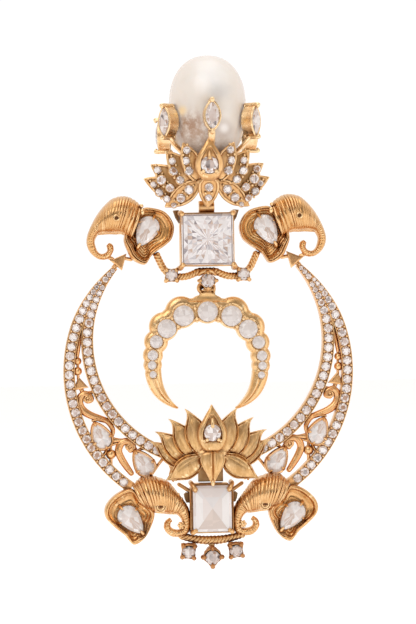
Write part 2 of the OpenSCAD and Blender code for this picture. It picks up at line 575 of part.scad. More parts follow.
module ring(z, r, w, front, back) difference() {
    translate([0, plane_y + back, z]) rotate([90, 0, 0]) cylinder(r = r, h = front + back, $fn = 180);
    translate([0, plane_y + back + 1, z]) rotate([90, 0, 0]) cylinder(r = r - w, h = front + back + 2, $fn = 180);
}
module outer_band() intersection() {
    difference() {
        ring(outer_z, outer_r, outer_band_w, half_t, half_t);
        // keep inside the crescent only
        translate([0, plane_y + 5, inner_z]) rotate([90, 0, 0]) cylinder(r = inner_r, h = 10, $fn = 180);
        // channel for the paved stones
        ring_channel(outer_z, outer_r, outer_band_w);
    }
    translate([0, plane_y, 0]) both() translate([10.4, -5, -51.2]) cube([15, 10, 36.6]);
}
module inner_band() intersection() {
    difference() {
        ring(inner_z, inner_r + inner_band_w, inner_band_w, half_t, half_t);
        ring_channel(inner_z, inner_r + inner_band_w, inner_band_w);
    }
    translate([0, plane_y + 5, outer_z]) rotate([90, 0, 0]) cylinder(r = outer_r, h = 10, $fn = 180);
    translate([-30, plane_y - 5, -60]) cube([60, 10, 45.4]);
}
module ring_channel(z, r, w) difference() {
    translate([0, plane_y - half_t + 0.2, z]) rotate([90, 0, 0]) cylinder(r = r - 0.28, h = 2, $fn = 180);
    translate([0, plane_y + 5, z]) rotate([90, 0, 0]) cylinder(r = r - w + 0.28, h = 10, $fn = 180);
}
module frame_pear(R) difference() {
    flat(1.15, 0.7) polygon(pear_edge(R, 0.42));
    flat(3, 3) polygon(pear_edge(R, -0.55));
}
module crescent_frame() color(GOLD) difference() {
    frame_metal();
    both() for (R = FRAME_PEARS) flat(3, 0.35) polygon(pear_edge(R, stone_gap));
}
module frame_metal() {
    outer_band();
    inner_band();
    both() {
        flat(scroll_t / 2, scroll_t / 2) polygon(ribbon_edge(line(SCROLL_1, 3)));
        flat(scroll_t / 2, scroll_t / 2) polygon(ribbon_edge(line(SCROLL_2, 3)));
        for (R = FRAME_RODS) if (R[1] > -46.5 || R[0] > 12) rod([R[0], plane_y, R[1]], [R[2], plane_y, R[3]], R[4]);
        for (B = FRAME_BEADS) translate([B[0], plane_y, B[1]]) sphere(r = B[2], $fn = 24);
        for (R = FRAME_PEARS) frame_pear(R);
        flat(0.6, 0.6) polygon(FRAME_TRIANGLE);
        flat(0.55, 0.55) polygon(ARM_TRIANGLE);
        rod([14.6, plane_y, -14.4], [15.75, plane_y, -15.6], 0.5);
    }
    // neck behind the lower lotus, down to the setting
    flat(0.9, half_t) translate([-2.0, oblong_z + oblong_h / 2 + 0.42 + cast_gap]) square([4.0, 3.2]);
    // rods down towards the corners of the lower setting
    both() rod([6.9, plane_y + 0.2, -46.4], [5.7, plane_y + 0.2, -50.1], 0.40);
}
module frame_stone(k) color(CLEAR) mirror([k > 2 ? 1 : 0, 0, 0]) {
    R = FRAME_PEARS[(k - 1) % 2];
    flat_at(1.0, 1.3) polygon(pear_edge(R, 0));
    flat_at(1.35, 0.36) polygon(pear_edge(R, -0.4));
}

// ---------------------------------------------------------------- lower lotus

module lower_lotus() color(GOLD) difference() {
    union() {
        petal(LOWER_PETALS[0], 1.2);
        petal(LOWER_PETALS[5], 1.0);
        both() for (i = [1, 2, 3, 4, 6]) petal(LOWER_PETALS[i], 1.1);
        // heart behind the petals
        hull() {
            translate([0, plane_y - 3.169, -45.995]) scale([1, 0.5, 0.7]) sphere(r = 2.231, $fn = 12);
            both() translate([4.377, plane_y - 2.03, -46.681]) sphere(r = 0.9, $fn = 8);
        }
        both() hull() {
            translate([2.034, plane_y - 2.384, -46.241]) sphere(r = 0.8, $fn = 6);
            translate([7.2, plane_y - 1.93, -45.17]) sphere(r = 0.6, $fn = 6);
        }
        both() hull() {
            translate([1.595, plane_y - 2.959, -45.23]) sphere(r = 0.8, $fn = 6);
            translate([4.0, plane_y - 2.913, -43.021]) sphere(r = 0.6, $fn = 6);
        }
        bead(0, -40.9, 0.30, 6.25, -4.6);
        both() bead(0.95, -43.55, 0.26, 6.1, -4.6);
    }
    round_stone(0, -42.3, 1.38, 5.75, stone_gap);
    // joint line to the frame
    flat(half_t + cast_gap, 3) square([60, 140], center = true);
}
module lower_lotus_stone() color(CLEAR) round_stone(0, -42.3, 1.38, 5.75);

module lower_setting() color(GOLD) {
    w = oblong_w / 2; h = oblong_h / 2; o = 0.42;
    // rods up to the frame and little links towards the heads
    both() rod([w + 0.2, plane_y, oblong_z + h - 1.1], [5.25, plane_y + 0.2, -50.95], 0.34);
    both() flat(0.4, 0.7) translate([w + 0.3, oblong_z + 1.2]) square([0.48, 1.1]);
    difference() {
        flat(2.2, 1.0) translate([-w - o, oblong_z - h - o]) square([oblong_w + 2 * o, oblong_h + 2 * o]);
        flat(4, 2) translate([-w + 0.8, oblong_z - h + 0.8]) square([oblong_w - 1.6, oblong_h - 1.6]);
        flat(4, -0.6) translate([-w - 0.06, oblong_z - h - 0.06]) square([oblong_w + 0.12, oblong_h + 0.12]);
    }
    for (sx = [-1, 1]) for (sz = [-1, 1]) difference() {
        union() {
            disc(sx * (w + 0.10), oblong_z + sz * (h + 0.10), 0.42, 3.15, 0.8, 20);
            translate([sx * (w - 0.12), plane_y - 3.05, oblong_z + sz * (h - 0.12)]) sphere(r = 0.5, $fn = 20);
        }
        flat(2.85, -0.6) translate([-w - 0.06, oblong_z - h - 0.06]) square([oblong_w + 0.12, oblong_h + 0.12]);
        flat(3.35, 0) translate([-w + 0.84, oblong_z - h + 0.84]) square([oblong_w - 1.68, oblong_h - 1.68]);
    }
}
module lower_stone() color(CLEAR) {
    w = oblong_w / 2; h = oblong_h / 2;
    flat_at(2.8, 2.1) translate([-w, oblong_z - h]) square([oblong_w, oblong_h]);
    flat_at(3.3, 0.51) translate([-w + 0.9, oblong_z - h + 0.9]) square([oblong_w - 1.8, oblong_h - 1.8]);
}

module lower_garland() color(GOLD) {
    both() cast_rope(LOWER_ROPE, 0.58, 0.4);
    stone_cup(0, -62.95, 1.12, 1.6, 0.5, 4, 90);
    both() stone_cup(3.92, -61.95, 0.95, 1.4, 0.5, 4, 45);
    rod([0, plane_y - 0.4, -60.6], [0, plane_y - 0.4, -61.8], 0.5);
    both() rod([3.6, plane_y - 0.4, -60.1], [3.9, plane_y - 0.4, -61.0], 0.45);
}
module bottom_stone(k) color(CLEAR) round_stone(BOTTOM_STONES[k][0], BOTTOM_STONES[k][1], BOTTOM_STONES[k][2], k == 0 ? 1.6 : 1.4);

// ---------------------------------------------------------------- drop

// shift of a scallop outward from the middle of the drop
function scallop(D) = D[0] == 0 ? [0, 0.2] : unit([D[0], D[1] + 30.2]) * (0.15 + 0.35 * (D[2] - 0.5));
module drop_crescent() color(GOLD) {
    t = drop_t / 2;
    difference() {
        union() {
            both() flat(t - 0.3, t - 0.3) polygon(ribbon_edge(line(DROP_HORN, 3)));
            both() flat(0.35, t) polygon([[0, -20.6], [4.0, -21.0], [4.4, -24.8], [0, -24.6]]);
            for (D = DROP_STONES) both() disc(D[0] + scallop(D)[0], D[1] + scallop(D)[1], D[2] + 0.72, t, t, 40);
            // pointed cap above the middle stone
            flat(0.9, 0.9) polygon([[-0.62, hinge_z - 0.5], [0.62, hinge_z - 0.5], [1.9, -21.3], [-1.9, -21.3]]);
            translate([-eye_half, plane_y, hinge_z]) rotate([0, 90, 0]) cylinder(r = eye_r, h = 2 * eye_half, $fn = 40);
        }
        for (i = [0 : 6]) both() {
            round_stone(DROP_STONES[i][0], DROP_STONES[i][1], DROP_STONES[i][2], t + 0.1, stone_gap);
            disc(DROP_STONES[i][0], DROP_STONES[i][1], DROP_STONES[i][2] + stone_gap, t + 1, -t + 0.05, 40);
        }
        translate([-2, plane_y, hinge_z]) rotate([0, 90, 0]) cylinder(r = bar_r + bar_fit, h = 4, $fn = 40);
        // room for the two ears
        both() translate([eye_half, plane_y, hinge_z]) rotate([0, 90, 0]) cylinder(r = 0.85, h = 1, $fn = 40);
    }
}
module drop_stone(k) color(CLEAR) {
    i = floor(k / 2);
    mirror([k > 1 && k % 2 == 1 ? 1 : 0, 0, 0]) round_stone(DROP_STONES[i][0], DROP_STONES[i][1], DROP_STONES[i][2], drop_t / 2 + 0.1);
}

// ---------------------------------------------------------------- nodes

ear_post();
pearl();
crown();
marquise_stone(0);  // marquise_stone_1
marquise_stone(1);  // marquise_stone_2
marquise_stone(2);  // marquise_stone_3
marquise_stone(3);  // marquise_stone_4
marquise_stone(4);  // marquise_stone_5
upper_lotus();
upper_lotus_stone();
square_setting();
square_stone();
mirror([1, 0, 0]) elephant_upper();  // elephant_upper_left
elephant_upper();  // elephant_upper_right
mirror([1, 0, 0]) pear_in_ear(UPPER_EAR_PEAR);  // ear_stone_upper_left
pear_in_ear(UPPER_EAR_PEAR);  // ear_stone_upper_right
upper_garland();
garland_stone(0);  // garland_stone_1
garland_stone(1);  // garland_stone_2
garland_stone(2);  // garland_stone_3
crescent_frame();
frame_stone(1);  // frame_stone_1
frame_stone(2);  // frame_stone_2
frame_stone(3);  // frame_stone_3
frame_stone(4);  // frame_stone_4
lower_lotus();
lower_lotus_stone();
lower_setting();
lower_stone();
mirror([1, 0, 0]) elephant_lower();  // elephant_lower_left
elephant_lower();  // elephant_lower_right
mirror([1, 0, 0]) pear_in_ear(LOWER_EAR_PEAR);  // ear_stone_lower_left
pear_in_ear(LOWER_EAR_PEAR);  // ear_stone_lower_right
lower_garland();
bottom_stone(0);  // bottom_stone_1
bottom_stone(1);  // bottom_stone_2
bottom_stone(2);  // bottom_stone_3
drop_crescent();
drop_stone(0);  // drop_stone_1
drop_stone(2);  // drop_stone_2
drop_stone(3);  // drop_stone_3
drop_stone(4);  // drop_stone_4
drop_stone(5);  // drop_stone_5
drop_stone(6);  // drop_stone_6
drop_stone(7);  // drop_stone_7
drop_stone(8);  // drop_stone_8
drop_stone(9);  // drop_stone_9
drop_stone(10);  // drop_stone_10
drop_stone(11);  // drop_stone_11
drop_stone(12);  // drop_stone_12
drop_stone(13);  // drop_stone_13
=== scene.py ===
import bpy
import math
import random
import numpy as np
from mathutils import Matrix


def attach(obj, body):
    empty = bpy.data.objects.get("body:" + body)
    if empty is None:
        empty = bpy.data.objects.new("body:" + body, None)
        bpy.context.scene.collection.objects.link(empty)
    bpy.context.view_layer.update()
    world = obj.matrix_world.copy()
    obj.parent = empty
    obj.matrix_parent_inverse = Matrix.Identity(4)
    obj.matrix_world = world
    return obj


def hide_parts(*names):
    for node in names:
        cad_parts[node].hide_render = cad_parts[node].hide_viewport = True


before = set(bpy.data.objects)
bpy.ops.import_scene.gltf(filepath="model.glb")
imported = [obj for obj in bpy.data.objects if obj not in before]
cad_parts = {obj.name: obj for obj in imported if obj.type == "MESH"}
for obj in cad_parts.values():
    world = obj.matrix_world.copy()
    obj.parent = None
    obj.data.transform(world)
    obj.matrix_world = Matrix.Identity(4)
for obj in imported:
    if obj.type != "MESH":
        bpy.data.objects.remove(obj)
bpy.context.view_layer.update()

MM = 0.001
PLANE = -4.5
PEARL_Y = -6.4
RNG = random.Random(7)
PI = math.pi

# ------------------------------------------------------------------ tables
MARQUISE = [(0, 9.05, 0, 8.6), (60, 8.42, 52, 8.72), (-60, 8.42, -52, 8.72), (104, 6.55, 101, 8.28), (-104, 6.55, -101, 8.28)]
REACH = 8.6
MQ_L, MQ_W = 2.3, 1.15

UPPER_HEAD = np.array([
    [10.69, -5.03, 12.51, -10.51, 2.0, 0.9], [12.06, -3.91, 13.98, -9.65, 3.3, 1.0],
    [13.54, -3.39, 15.13, -9.55, 3.9, 1.0], [15.32, -3.71, 16.12, -9.49, 3.8, 1.0],
    [16.71, -4.79, 17.03, -9.52, 3.2, 0.9], [18.11, -6.53, 17.56, -9.56, 2.4, 0.8],
    [19.27, -8.74, 17.94, -9.75, 1.7, 0.7], [19.76, -10.38, 18.40, -10.57, 1.3, 0.7],
    [19.62, -11.70, 18.33, -11.39, 1.1, 0.6], [18.90, -12.87, 17.98, -12.31, 1.0, 0.6],
    [17.68, -13.65, 17.41, -12.73, 0.9, 0.5], [16.32, -13.54, 16.75, -12.58, 0.8, 0.5],
    [15.43, -12.35, 16.43, -12.17, 0.8, 0.5], [15.49, -11.36, 16.49, -11.67, 0.7, 0.4],
    [16.06, -10.94, 16.56, -11.43, 0.5, 0.3]])
LOWER_HEAD = np.array([
    [12.88, -50.93, 10.80, -54.76, 2.0, 0.9], [11.71, -49.80, 9.98, -55.11, 3.4, 1.0],
    [10.30, -49.33, 9.00, -55.37, 4.0, 1.0], [8.63, -49.65, 8.01, -55.47, 3.9, 1.0],
    [6.98, -50.42, 7.20, -55.57, 3.3, 0.9], [5.64, -52.05, 6.40, -55.66, 2.6, 0.8],
    [4.35, -53.80, 5.95, -55.75, 1.9, 0.7], [3.72, -54.97, 5.40, -56.15, 1.55, 0.6],
    [3.50, -56.30, 4.98, -56.85, 1.35, 0.5], [3.46, -57.55, 4.88, -57.50, 1.2, 0.5],
    [3.80, -58.75, 4.98, -58.05, 1.1, 0.5], [4.95, -59.42, 5.40, -58.25, 1.0, 0.5],
    [6.65, -59.38, 6.20, -58.15, 0.95, 0.5], [7.80, -58.25, 6.72, -57.80, 0.9, 0.5],
    [7.74, -57.00, 6.75, -57.28, 0.8, 0.4], [6.88, -56.28, 6.45, -56.92, 0.55, 0.3]])
UPPER_EAR = np.array([
    [10.30, -5.30], [8.52, -5.41], [6.95, -5.98], [5.88, -7.16], [5.38, -8.67],
    [5.80, -10.46], [6.85, -11.53], [8.23, -12.46], [9.20, -13.25], [10.18, -14.61],
    [11.42, -14.39], [12.49, -13.61], [13.15, -12.38], [13.70, -10.71], [13.40, -9.17],
    [12.62, -7.53], [11.44, -6.23]])
LOWER_EAR = np.array([
    [13.09, -51.34], [15.16, -51.88], [16.95, -53.33], [17.64, -54.81], [17.30, -56.28],
    [15.86, -57.78], [14.41, -58.99], [12.95, -60.57], [11.17, -59.62], [9.96, -57.58],
    [9.40, -55.53], [10.13, -54.28], [11.76, -52.93]])
UPPER_PETALS = [
    (0.00, -1.35, 0.00, 5.76, 2.30, 7.1, 8.7, 0.0), (1.90, -1.00, 3.88, 5.03, 1.65, 6.4, 7.2, 0.3),
    (3.00, -1.50, 6.44, 3.96, 1.75, 5.6, 5.8, 0.4), (3.90, -2.30, 8.99, 1.90, 1.65, 4.6, 4.2, 0.4),
    (4.30, -3.60, 10.14, -0.26, 1.60, 3.6, 2.8, 0.4), (0.00, -1.20, 0.00, -5.60, 1.80, 6.4, 3.6, 0.0),
    (1.70, -1.80, 6.60, -5.40, 1.55, 4.8, 2.6, -0.3)]
LOWER_PETALS = [
    (0.00, -45.50, 0.00, -38.00, 2.20, 4.6, 4.4, 0.0), (1.90, -45.70, 4.25, -38.80, 1.85, 3.9, 3.6, 0.4),
    (3.20, -46.30, 7.03, -40.13, 1.75, 3.3, 3.0, 0.5), (4.20, -47.00, 9.36, -42.25, 1.65, 2.7, 2.4, 0.5),
    (4.60, -47.90, 10.40, -44.14, 1.45, 2.1, 1.9, 0.5), (0.00, -45.60, 0.00, -50.87, 1.95, 4.8, 4.4, 0.0),
    (1.60, -46.20, 7.31, -50.36, 1.85, 4.0, 3.6, -0.5)]
DROP_STONES = [(0.00, -22.51, 1.70), (3.96, -23.23, 1.73), (6.73, -25.37, 1.57), (8.47, -27.54, 1.07),
               (9.03, -29.76, 0.86), (9.12, -31.39, 0.71), (8.95, -32.92, 0.58)]
DROP_HORN = np.array([
    [3.96, -23.23, 2.10], [6.73, -25.37, 1.95], [8.35, -27.70, 1.50], [8.92, -30.00, 1.38],
    [8.92, -32.00, 1.36], [8.62, -33.90, 1.26], [8.00, -35.50, 1.06], [6.95, -36.90, 0.76],
    [5.60, -38.00, 0.38], [4.62, -38.50, 0.10]])
SCROLL_1 = np.array([
    [20.06, -36.90, 0.36], [19.45, -36.72, 0.36], [19.62, -36.02, 0.38], [20.58, -35.68, 0.44],
    [21.30, -36.40, 0.52], [21.34, -37.50, 0.56], [20.70, -38.50, 0.56], [19.55, -39.24, 0.52],
    [18.10, -39.78, 0.46], [16.70, -40.25, 0.38]])
SCROLL_2 = np.array([
    [13.15, -45.15, 0.36], [12.64, -44.80, 0.36], [12.82, -44.05, 0.40], [13.74, -43.62, 0.47],
    [14.68, -44.00, 0.52], [15.10, -45.11, 0.53], [14.74, -46.28, 0.53], [13.90, -47.70, 0.48],
    [13.06, -48.90, 0.38]])
FRAME_RODS = [
    (20.75, -24.60, 21.58, -29.44, 0.30), (21.58, -29.44, 21.50, -33.40, 0.24),
    (21.20, -34.60, 20.70, -35.70, 0.36), (20.60, -35.60, 18.70, -35.40, 0.28),
    (16.10, -43.20, 14.10, -43.70, 0.36), (16.40, -44.40, 16.37, -47.50, 0.28),
    (12.60, -44.50, 12.00, -45.60, 0.34)]
FRAME_BEADS = [(21.60, -30.31, 0.52), (21.60, -31.96, 0.58), (16.37, -45.72, 0.68), (20.40, -36.25, 0.30)]
FRAME_PEARS = [(18.90, -40.80, 17.12, -44.55, 1.44), (12.24, -45.55, 9.95, -49.00, 1.45)]
UPPER_EAR_PEAR = (11.15, -11.50, 9.02, -6.45, 1.82)
LOWER_EAR_PEAR = (11.55, -58.55, 14.85, -54.45, 1.75)
GARLAND_STONES = [(0.00, -17.45, 1.10), (5.96, -16.45, 0.95), (-5.96, -16.45, 0.95)]
GARLAND_ROPE = np.array([
    [8.30, -12.95], [7.75, -14.20], [7.10, -15.40], [5.96, -16.45], [4.60, -16.72],
    [3.40, -16.66], [2.30, -16.30], [1.35, -15.88], [0.00, -15.85]])
BOTTOM_STONES = [(0.00, -62.95, 1.12), (3.92, -61.95, 0.95), (-3.92, -61.95, 0.95)]
LOWER_ROPE = np.array([[5.15, -59.35], [4.20, -59.62], [3.00, -59.92], [1.50, -60.14], [0.00, -60.22]])
ARM_TRIANGLE = [(13.24, -12.74), (15.96, -13.84), (14.02, -15.54)]
FRAME_TRIANGLE = [(21.44, -32.85), (22.42, -35.12), (19.86, -34.66)]
OUTER_R, OUTER_Z, OUTER_W = 23.93, -32.34, 1.85
INNER_R, INNER_Z, INNER_W = 18.98, -27.22, 1.95
SQ_W, SQ_Z = 8.1, -10.66
OB_W, OB_H, OB_Z = 6.4, 7.65, -54.85
HINGE_Z, BAR_R, EYE_R, EYE_HALF = -19.35, 0.32, 0.85, 0.62


# ------------------------------------------------------------------ helpers
def unit(v):
    v = np.asarray(v, float)
    return v / max(np.linalg.norm(v), 1e-9)


def smooth_line(P, n):
    """Catmull-Rom line through the rows of a table."""
    P = np.asarray(P, float)
    out = []
    for i in range(len(P) - 1):
        p, q, r, s = P[max(i - 1, 0)], P[i], P[i + 1], P[min(i + 2, len(P) - 1)]
        for k in range(n):
            t = k / n
            out.append(0.5 * ((2 * q) + (r - p) * t + (2 * p - 5 * q + 4 * r - s) * t * t
                              + (3 * q - p - 3 * r + s) * t ** 3))
    out.append(P[-1])
    return np.array(out)


def smooth_loop(P, n):
    P = np.asarray(P, float)
    m = len(P)
    out = []
    for i in range(m):
        p, q, r, s = P[(i - 1) % m], P[i], P[(i + 1) % m], P[(i + 2) % m]
        for k in range(n):
            t = k / n
            out.append(0.5 * ((2 * q) + (r - p) * t + (2 * p - 5 * q + 4 * r - s) * t * t
                              + (3 * q - p - 3 * r + s) * t ** 3))
    return np.array(out)


def resample(P, step=None, n=None):
    """Points at even distances along an open line."""
    P = np.asarray(P, float)
    d = np.r_[0, np.cumsum(np.linalg.norm(np.diff(P[:, :2] if P.shape[1] != 3 or step == 'x' else P, axis=0), axis=1))]
    if n is None:
        n = max(int(round(d[-1] / step)) + 1, 2)
    t = np.linspace(0, d[-1], n)
    return np.stack([np.interp(t, d, P[:, k]) for k in range(P.shape[1])], 1), d[-1]


def at(x, z, f):
    """Point of the frame from its place in the front view and its depth in front of the middle plane."""
    return np.array([x, PLANE - f, z])


class Shape:
    """Vertices in millimetres, faces and their shading."""

    def __init__(self):
        self.v, self.f, self.s, self.m, self.n = [], [], [], [], 0

    def add(self, v, f, smooth=True, mat=0):
        v = np.asarray(v, float).reshape(-1, 3)
        n = self.n
        self.f.extend([tuple(int(i) + n for i in q) for q in f])
        self.s.extend([smooth] * len(f))
        self.m.extend([mat] * len(f))
        self.v.append(v)
        self.n += len(v)
        return self

    def grid(self, P, wrap_u=False, wrap_v=False, smooth=True, mat=0, cap0=False, cap1=False):
        P = np.asarray(P, float)
        a, b = P.shape[:2]
        f = []
        for i in range(a if wrap_u else a - 1):
            i2 = (i + 1) % a
            for j in range(b if wrap_v else b - 1):
                j2 = (j + 1) % b
                f.append((i * b + j, i2 * b + j, i2 * b + j2, i * b + j2))
        v = P.reshape(-1, 3)
        k = len(v)
        if cap0:
            v = np.vstack([v, P[0].mean(0)])
            f += [(k, j, (j + 1) % b) for j in range(b)]
            k += 1
        if cap1:
            v = np.vstack([v, P[-1].mean(0)])
            f += [(k, (a - 1) * b + (j + 1) % b, (a - 1) * b + j) for j in range(b)]
        return self.add(v, f, smooth, mat)

    def merge(self, o, move=None, mirror=False):
        for v in [np.vstack(o.v)] if o.v else []:
            v = v.copy()
            if move is not None:
                v = move(v)
            if mirror:
                v[:, 0] *= -1
            n = self.n
            if mirror:
                self.f.extend([tuple(i + n for i in q[::-1]) for q in o.f])
            else:
                self.f.extend([tuple(i + n for i in q) for q in o.f])
            self.s.extend(o.s)
            self.m.extend(o.m)
            self.v.append(v)
            self.n += len(v)
        return self

    def mirrored(self):
        return Shape().merge(self, mirror=True)


def sphere(c, r, nu=10, nv=14, scale=(1, 1, 1)):
    s = Shape()
    P = np.zeros((nu - 1, nv, 3))
    for i in range(1, nu):
        a = PI * i / nu
        for j in range(nv):
            b = 2 * PI * j / nv
            P[i - 1, j] = (math.sin(a) * math.cos(b), math.sin(a) * math.sin(b), math.cos(a))
    top, bot = np.array([0, 0, 1.0]), np.array([0, 0, -1.0])
    v = np.vstack([P.reshape(-1, 3), top, bot]) * r * np.array(scale) + np.asarray(c, float)
    f = []
    for i in range(nu - 2):
        for j in range(nv):
            f.append((i * nv + j, (i + 1) * nv + j, (i + 1) * nv + (j + 1) % nv, i * nv + (j + 1) % nv))
    k = (nu - 1) * nv
    f += [(k, j, (j + 1) % nv) for j in range(nv)]
    f += [(k + 1, (nu - 2) * nv + (j + 1) % nv, (nu - 2) * nv + j) for j in range(nv)]
    return s.add(v, f)


def frames(P, up=(0, 1, 0)):
    """Side and up directions along a path that mostly lies in a plane across up."""
    P = np.asarray(P, float)
    T = np.gradient(P, axis=0)
    T /= np.maximum(np.linalg.norm(T, axis=1, keepdims=True), 1e-9)
    U = np.tile(np.asarray(up, float), (len(P), 1))
    S = np.cross(T, U)
    bad = np.linalg.norm(S, axis=1) < 1e-4
    S[bad] = np.cross(T[bad], np.array([1.0, 0, 0]))
    S /= np.maximum(np.linalg.norm(S, axis=1, keepdims=True), 1e-9)
    U = np.cross(S, T)
    return T, S, U


def tube(P, w, h=None, n=12, power=1.0, ends=True, up=(0, 1, 0), bulge=None):
    """Sweep of a rounded section of half width w and half height h along P."""
    P = np.asarray(P, float)
    w = np.broadcast_to(np.asarray(w, float), len(P)).copy()
    h = w if h is None else np.broadcast_to(np.asarray(h, float), len(P)).copy()
    T, S, U = frames(P, up)
    rows, ws, hs = [P], [w], [h]
    if ends:
        k = [0.0, 0.5, 0.85]
        pre = [P[0] - T[0] * min(w[0], h[0]) * math.sqrt(1 - (q ** 2)) for q in (0.05, 0.5, 0.85)]
        post = [P[-1] + T[-1] * min(w[-1], h[-1]) * math.sqrt(1 - (q ** 2)) for q in (0.85, 0.5, 0.05)]
        P2 = np.vstack([pre, P, post])
        w2 = np.r_[w[0] * 0.05, w[0] * 0.5, w[0] * 0.85, w, w[-1] * 0.85, w[-1] * 0.5, w[-1] * 0.05]
        h2 = np.r_[h[0] * 0.05, h[0] * 0.5, h[0] * 0.85, h, h[-1] * 0.85, h[-1] * 0.5, h[-1] * 0.05]
        S = np.vstack([[S[0]] * 3, S, [S[-1]] * 3])
        U = np.vstack([[U[0]] * 3, U, [U[-1]] * 3])
        P, w, h = P2, w2, h2
    a = np.linspace(0, 2 * PI, n, endpoint=False)
    c, s = np.cos(a), np.sin(a)
    c = np.sign(c) * np.abs(c) ** power
    s = np.sign(s) * np.abs(s) ** power
    G = (P[:, None, :] + S[:, None, :] * (w[:, None] * c[None, :])[:, :, None]
         + U[:, None, :] * (h[:, None] * s[None, :])[:, :, None])
    return Shape().grid(G, wrap_v=True, cap0=True, cap1=True)


def rod(a, b, r, n=12, ends=True):
    a, b = np.asarray(a, float), np.asarray(b, float)
    d = unit(b - a)
    up = (0, 1, 0) if abs(d[1]) < 0.9 else (1, 0, 0)
    return tube(np.array([a, (a + b) / 2, b]), r, n=n, ends=ends, up=up)


def revolve(prof, n=64, centre=(0, 0, 0), axis='z'):
    """Turned shape from (radius, height) pairs; the ends may lie on the axis."""
    prof = np.asarray(prof, float)
    a = np.linspace(0, 2 * PI, n, endpoint=False)
    G = np.zeros((len(prof), n, 3))
    G[:, :, 0] = prof[:, 0][:, None] * np.cos(a)
    G[:, :, 1] = prof[:, 0][:, None] * np.sin(a)
    G[:, :, 2] = prof[:, 1][:, None]
    if axis == 'y':
        G = np.stack([G[:, :, 0], G[:, :, 2], -G[:, :, 1]], 2)
    if axis == 'x':
        G = np.stack([G[:, :, 2], G[:, :, 0], G[:, :, 1]], 2)
    G = G + np.asarray(centre, float)
    return Shape().grid(G, wrap_v=True, cap0=True, cap1=True)


def inset(P, d):
    """Outline moved inward by d, by the mean of the two edges' normals at each corner."""
    P = np.asarray(P, float)
    A = 0.5 * np.sum(P[:, 0] * np.roll(P[:, 1], -1) - np.roll(P[:, 0], -1) * P[:, 1])
    e = np.roll(P, -1, 0) - P
    e /= np.maximum(np.linalg.norm(e, axis=1, keepdims=True), 1e-9)
    nrm = np.stack([-e[:, 1], e[:, 0]], 1) * (1 if A > 0 else -1)
    m = nrm + np.roll(nrm, 1, 0)
    l2 = np.maximum((m * m).sum(1, keepdims=True), 0.5)
    return P + 2 * m / l2 * d


def slab(P, f0, f1, bevel=0.12, hole=None, sag=0.0):
    """Plate with a rounded front edge, from depth f0 to f1 in front of the middle plane. A hole has the same number of points."""
    P = np.asarray(P, float)
    rings = [(P, f0)]
    rings.append((P, f1 - bevel))
    rings.append((inset(P, bevel * 0.3), f1 - bevel * 0.3))
    rings.append((inset(P, bevel), f1))
    s = Shape()
    if hole is None:
        c = P.mean(0)
        for k in (0.66, 0.33, 0.02):
            Q = c + (inset(P, bevel) - c) * k
            rings.append((Q, f1 + sag * (1 - k * k)))
        G = np.array([[at(p[0], p[1], f) for p in R] for R, f in rings])
        return s.grid(G, wrap_v=True, cap0=True, cap1=True)
    H = np.asarray(hole, float)
    rings.append((inset(H, -bevel), f1))
    rings.append((inset(H, -bevel * 0.3), f1 - bevel * 0.3))
    rings.append((H, f1 - bevel))
    rings.append((H, f0))
    G = np.array([[at(p[0], p[1], f) for p in R] for R, f in rings])
    return s.grid(G, wrap_v=True, wrap_u=True)


def polar(P, c, n):
    """Distance of a closed outline from c in n even directions."""
    P = np.asarray(P, float) - np.asarray(c, float)
    a = np.linspace(0, 2 * PI, n, endpoint=False)
    A, B = P, np.roll(P, -1, 0)
    out = np.zeros(n)
    for k, t in enumerate(a):
        d = np.array([math.cos(t), math.sin(t)])
        e = B - A
        den = d[0] * e[:, 1] - d[1] * e[:, 0]
        den = np.where(np.abs(den) < 1e-12, 1e-12, den)
        r = (A[:, 0] * e[:, 1] - A[:, 1] * e[:, 0]) / den
        u = (A[:, 0] * d[1] - A[:, 1] * d[0]) / den
        ok = (u >= -1e-6) & (u <= 1 + 1e-6) & (r > 0)
        out[k] = r[ok].max() if ok.any() else 0
    return a, out


def pear_edge(R, g, n=40):
    tip, end = np.array(R[:2]), np.array(R[2:4])
    d = unit(tip - end)
    s = np.array([-d[1], d[0]])
    w = R[4] + g
    c = end + d * R[4]
    L = np.linalg.norm(tip - c) + 1.35 * g
    P = []
    for i in range(n):
        a = i * 2 * PI / n
        u, v = math.cos(a), math.sin(a)
        k = (max(1 - max(u, 0) ** 1.5, 0.0001) ** 0.62) * (1 if v >= 0 else -1) if u > 0 else v
        P.append(c + s * w * k + d * (L * u if u > 0 else w * u))
    return np.array(P)


def to_object(name, shape, mats, body, nodes=(), sharp=None):
    """Makes a piece of the visual model that stands for the named CAD nodes."""
    v = np.vstack(shape.v) * MM
    me = bpy.data.meshes.new(name)
    me.from_pydata(v.tolist(), [], shape.f)
    me.validate(clean_customdata=False)
    me.update()
    if len(me.polygons) == len(shape.s):
        me.polygons.foreach_set("use_smooth", np.array(shape.s, bool))
        me.polygons.foreach_set("material_index", np.array(shape.m, np.int32))
    import bmesh
    bm = bmesh.new()
    bm.from_mesh(me)
    bmesh.ops.recalc_face_normals(bm, faces=bm.faces)
    bm.to_mesh(me)
    bm.free()
    for m in mats if isinstance(mats, (list, tuple)) else [mats]:
        me.materials.append(m)
    if sharp:
        me.set_sharp_from_angle(angle=math.radians(sharp))
    ob = bpy.data.objects.new(name, me)
    bpy.context.scene.collection.objects.link(ob)
    if nodes:
        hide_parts(*nodes)
    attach(ob, body)
    return ob


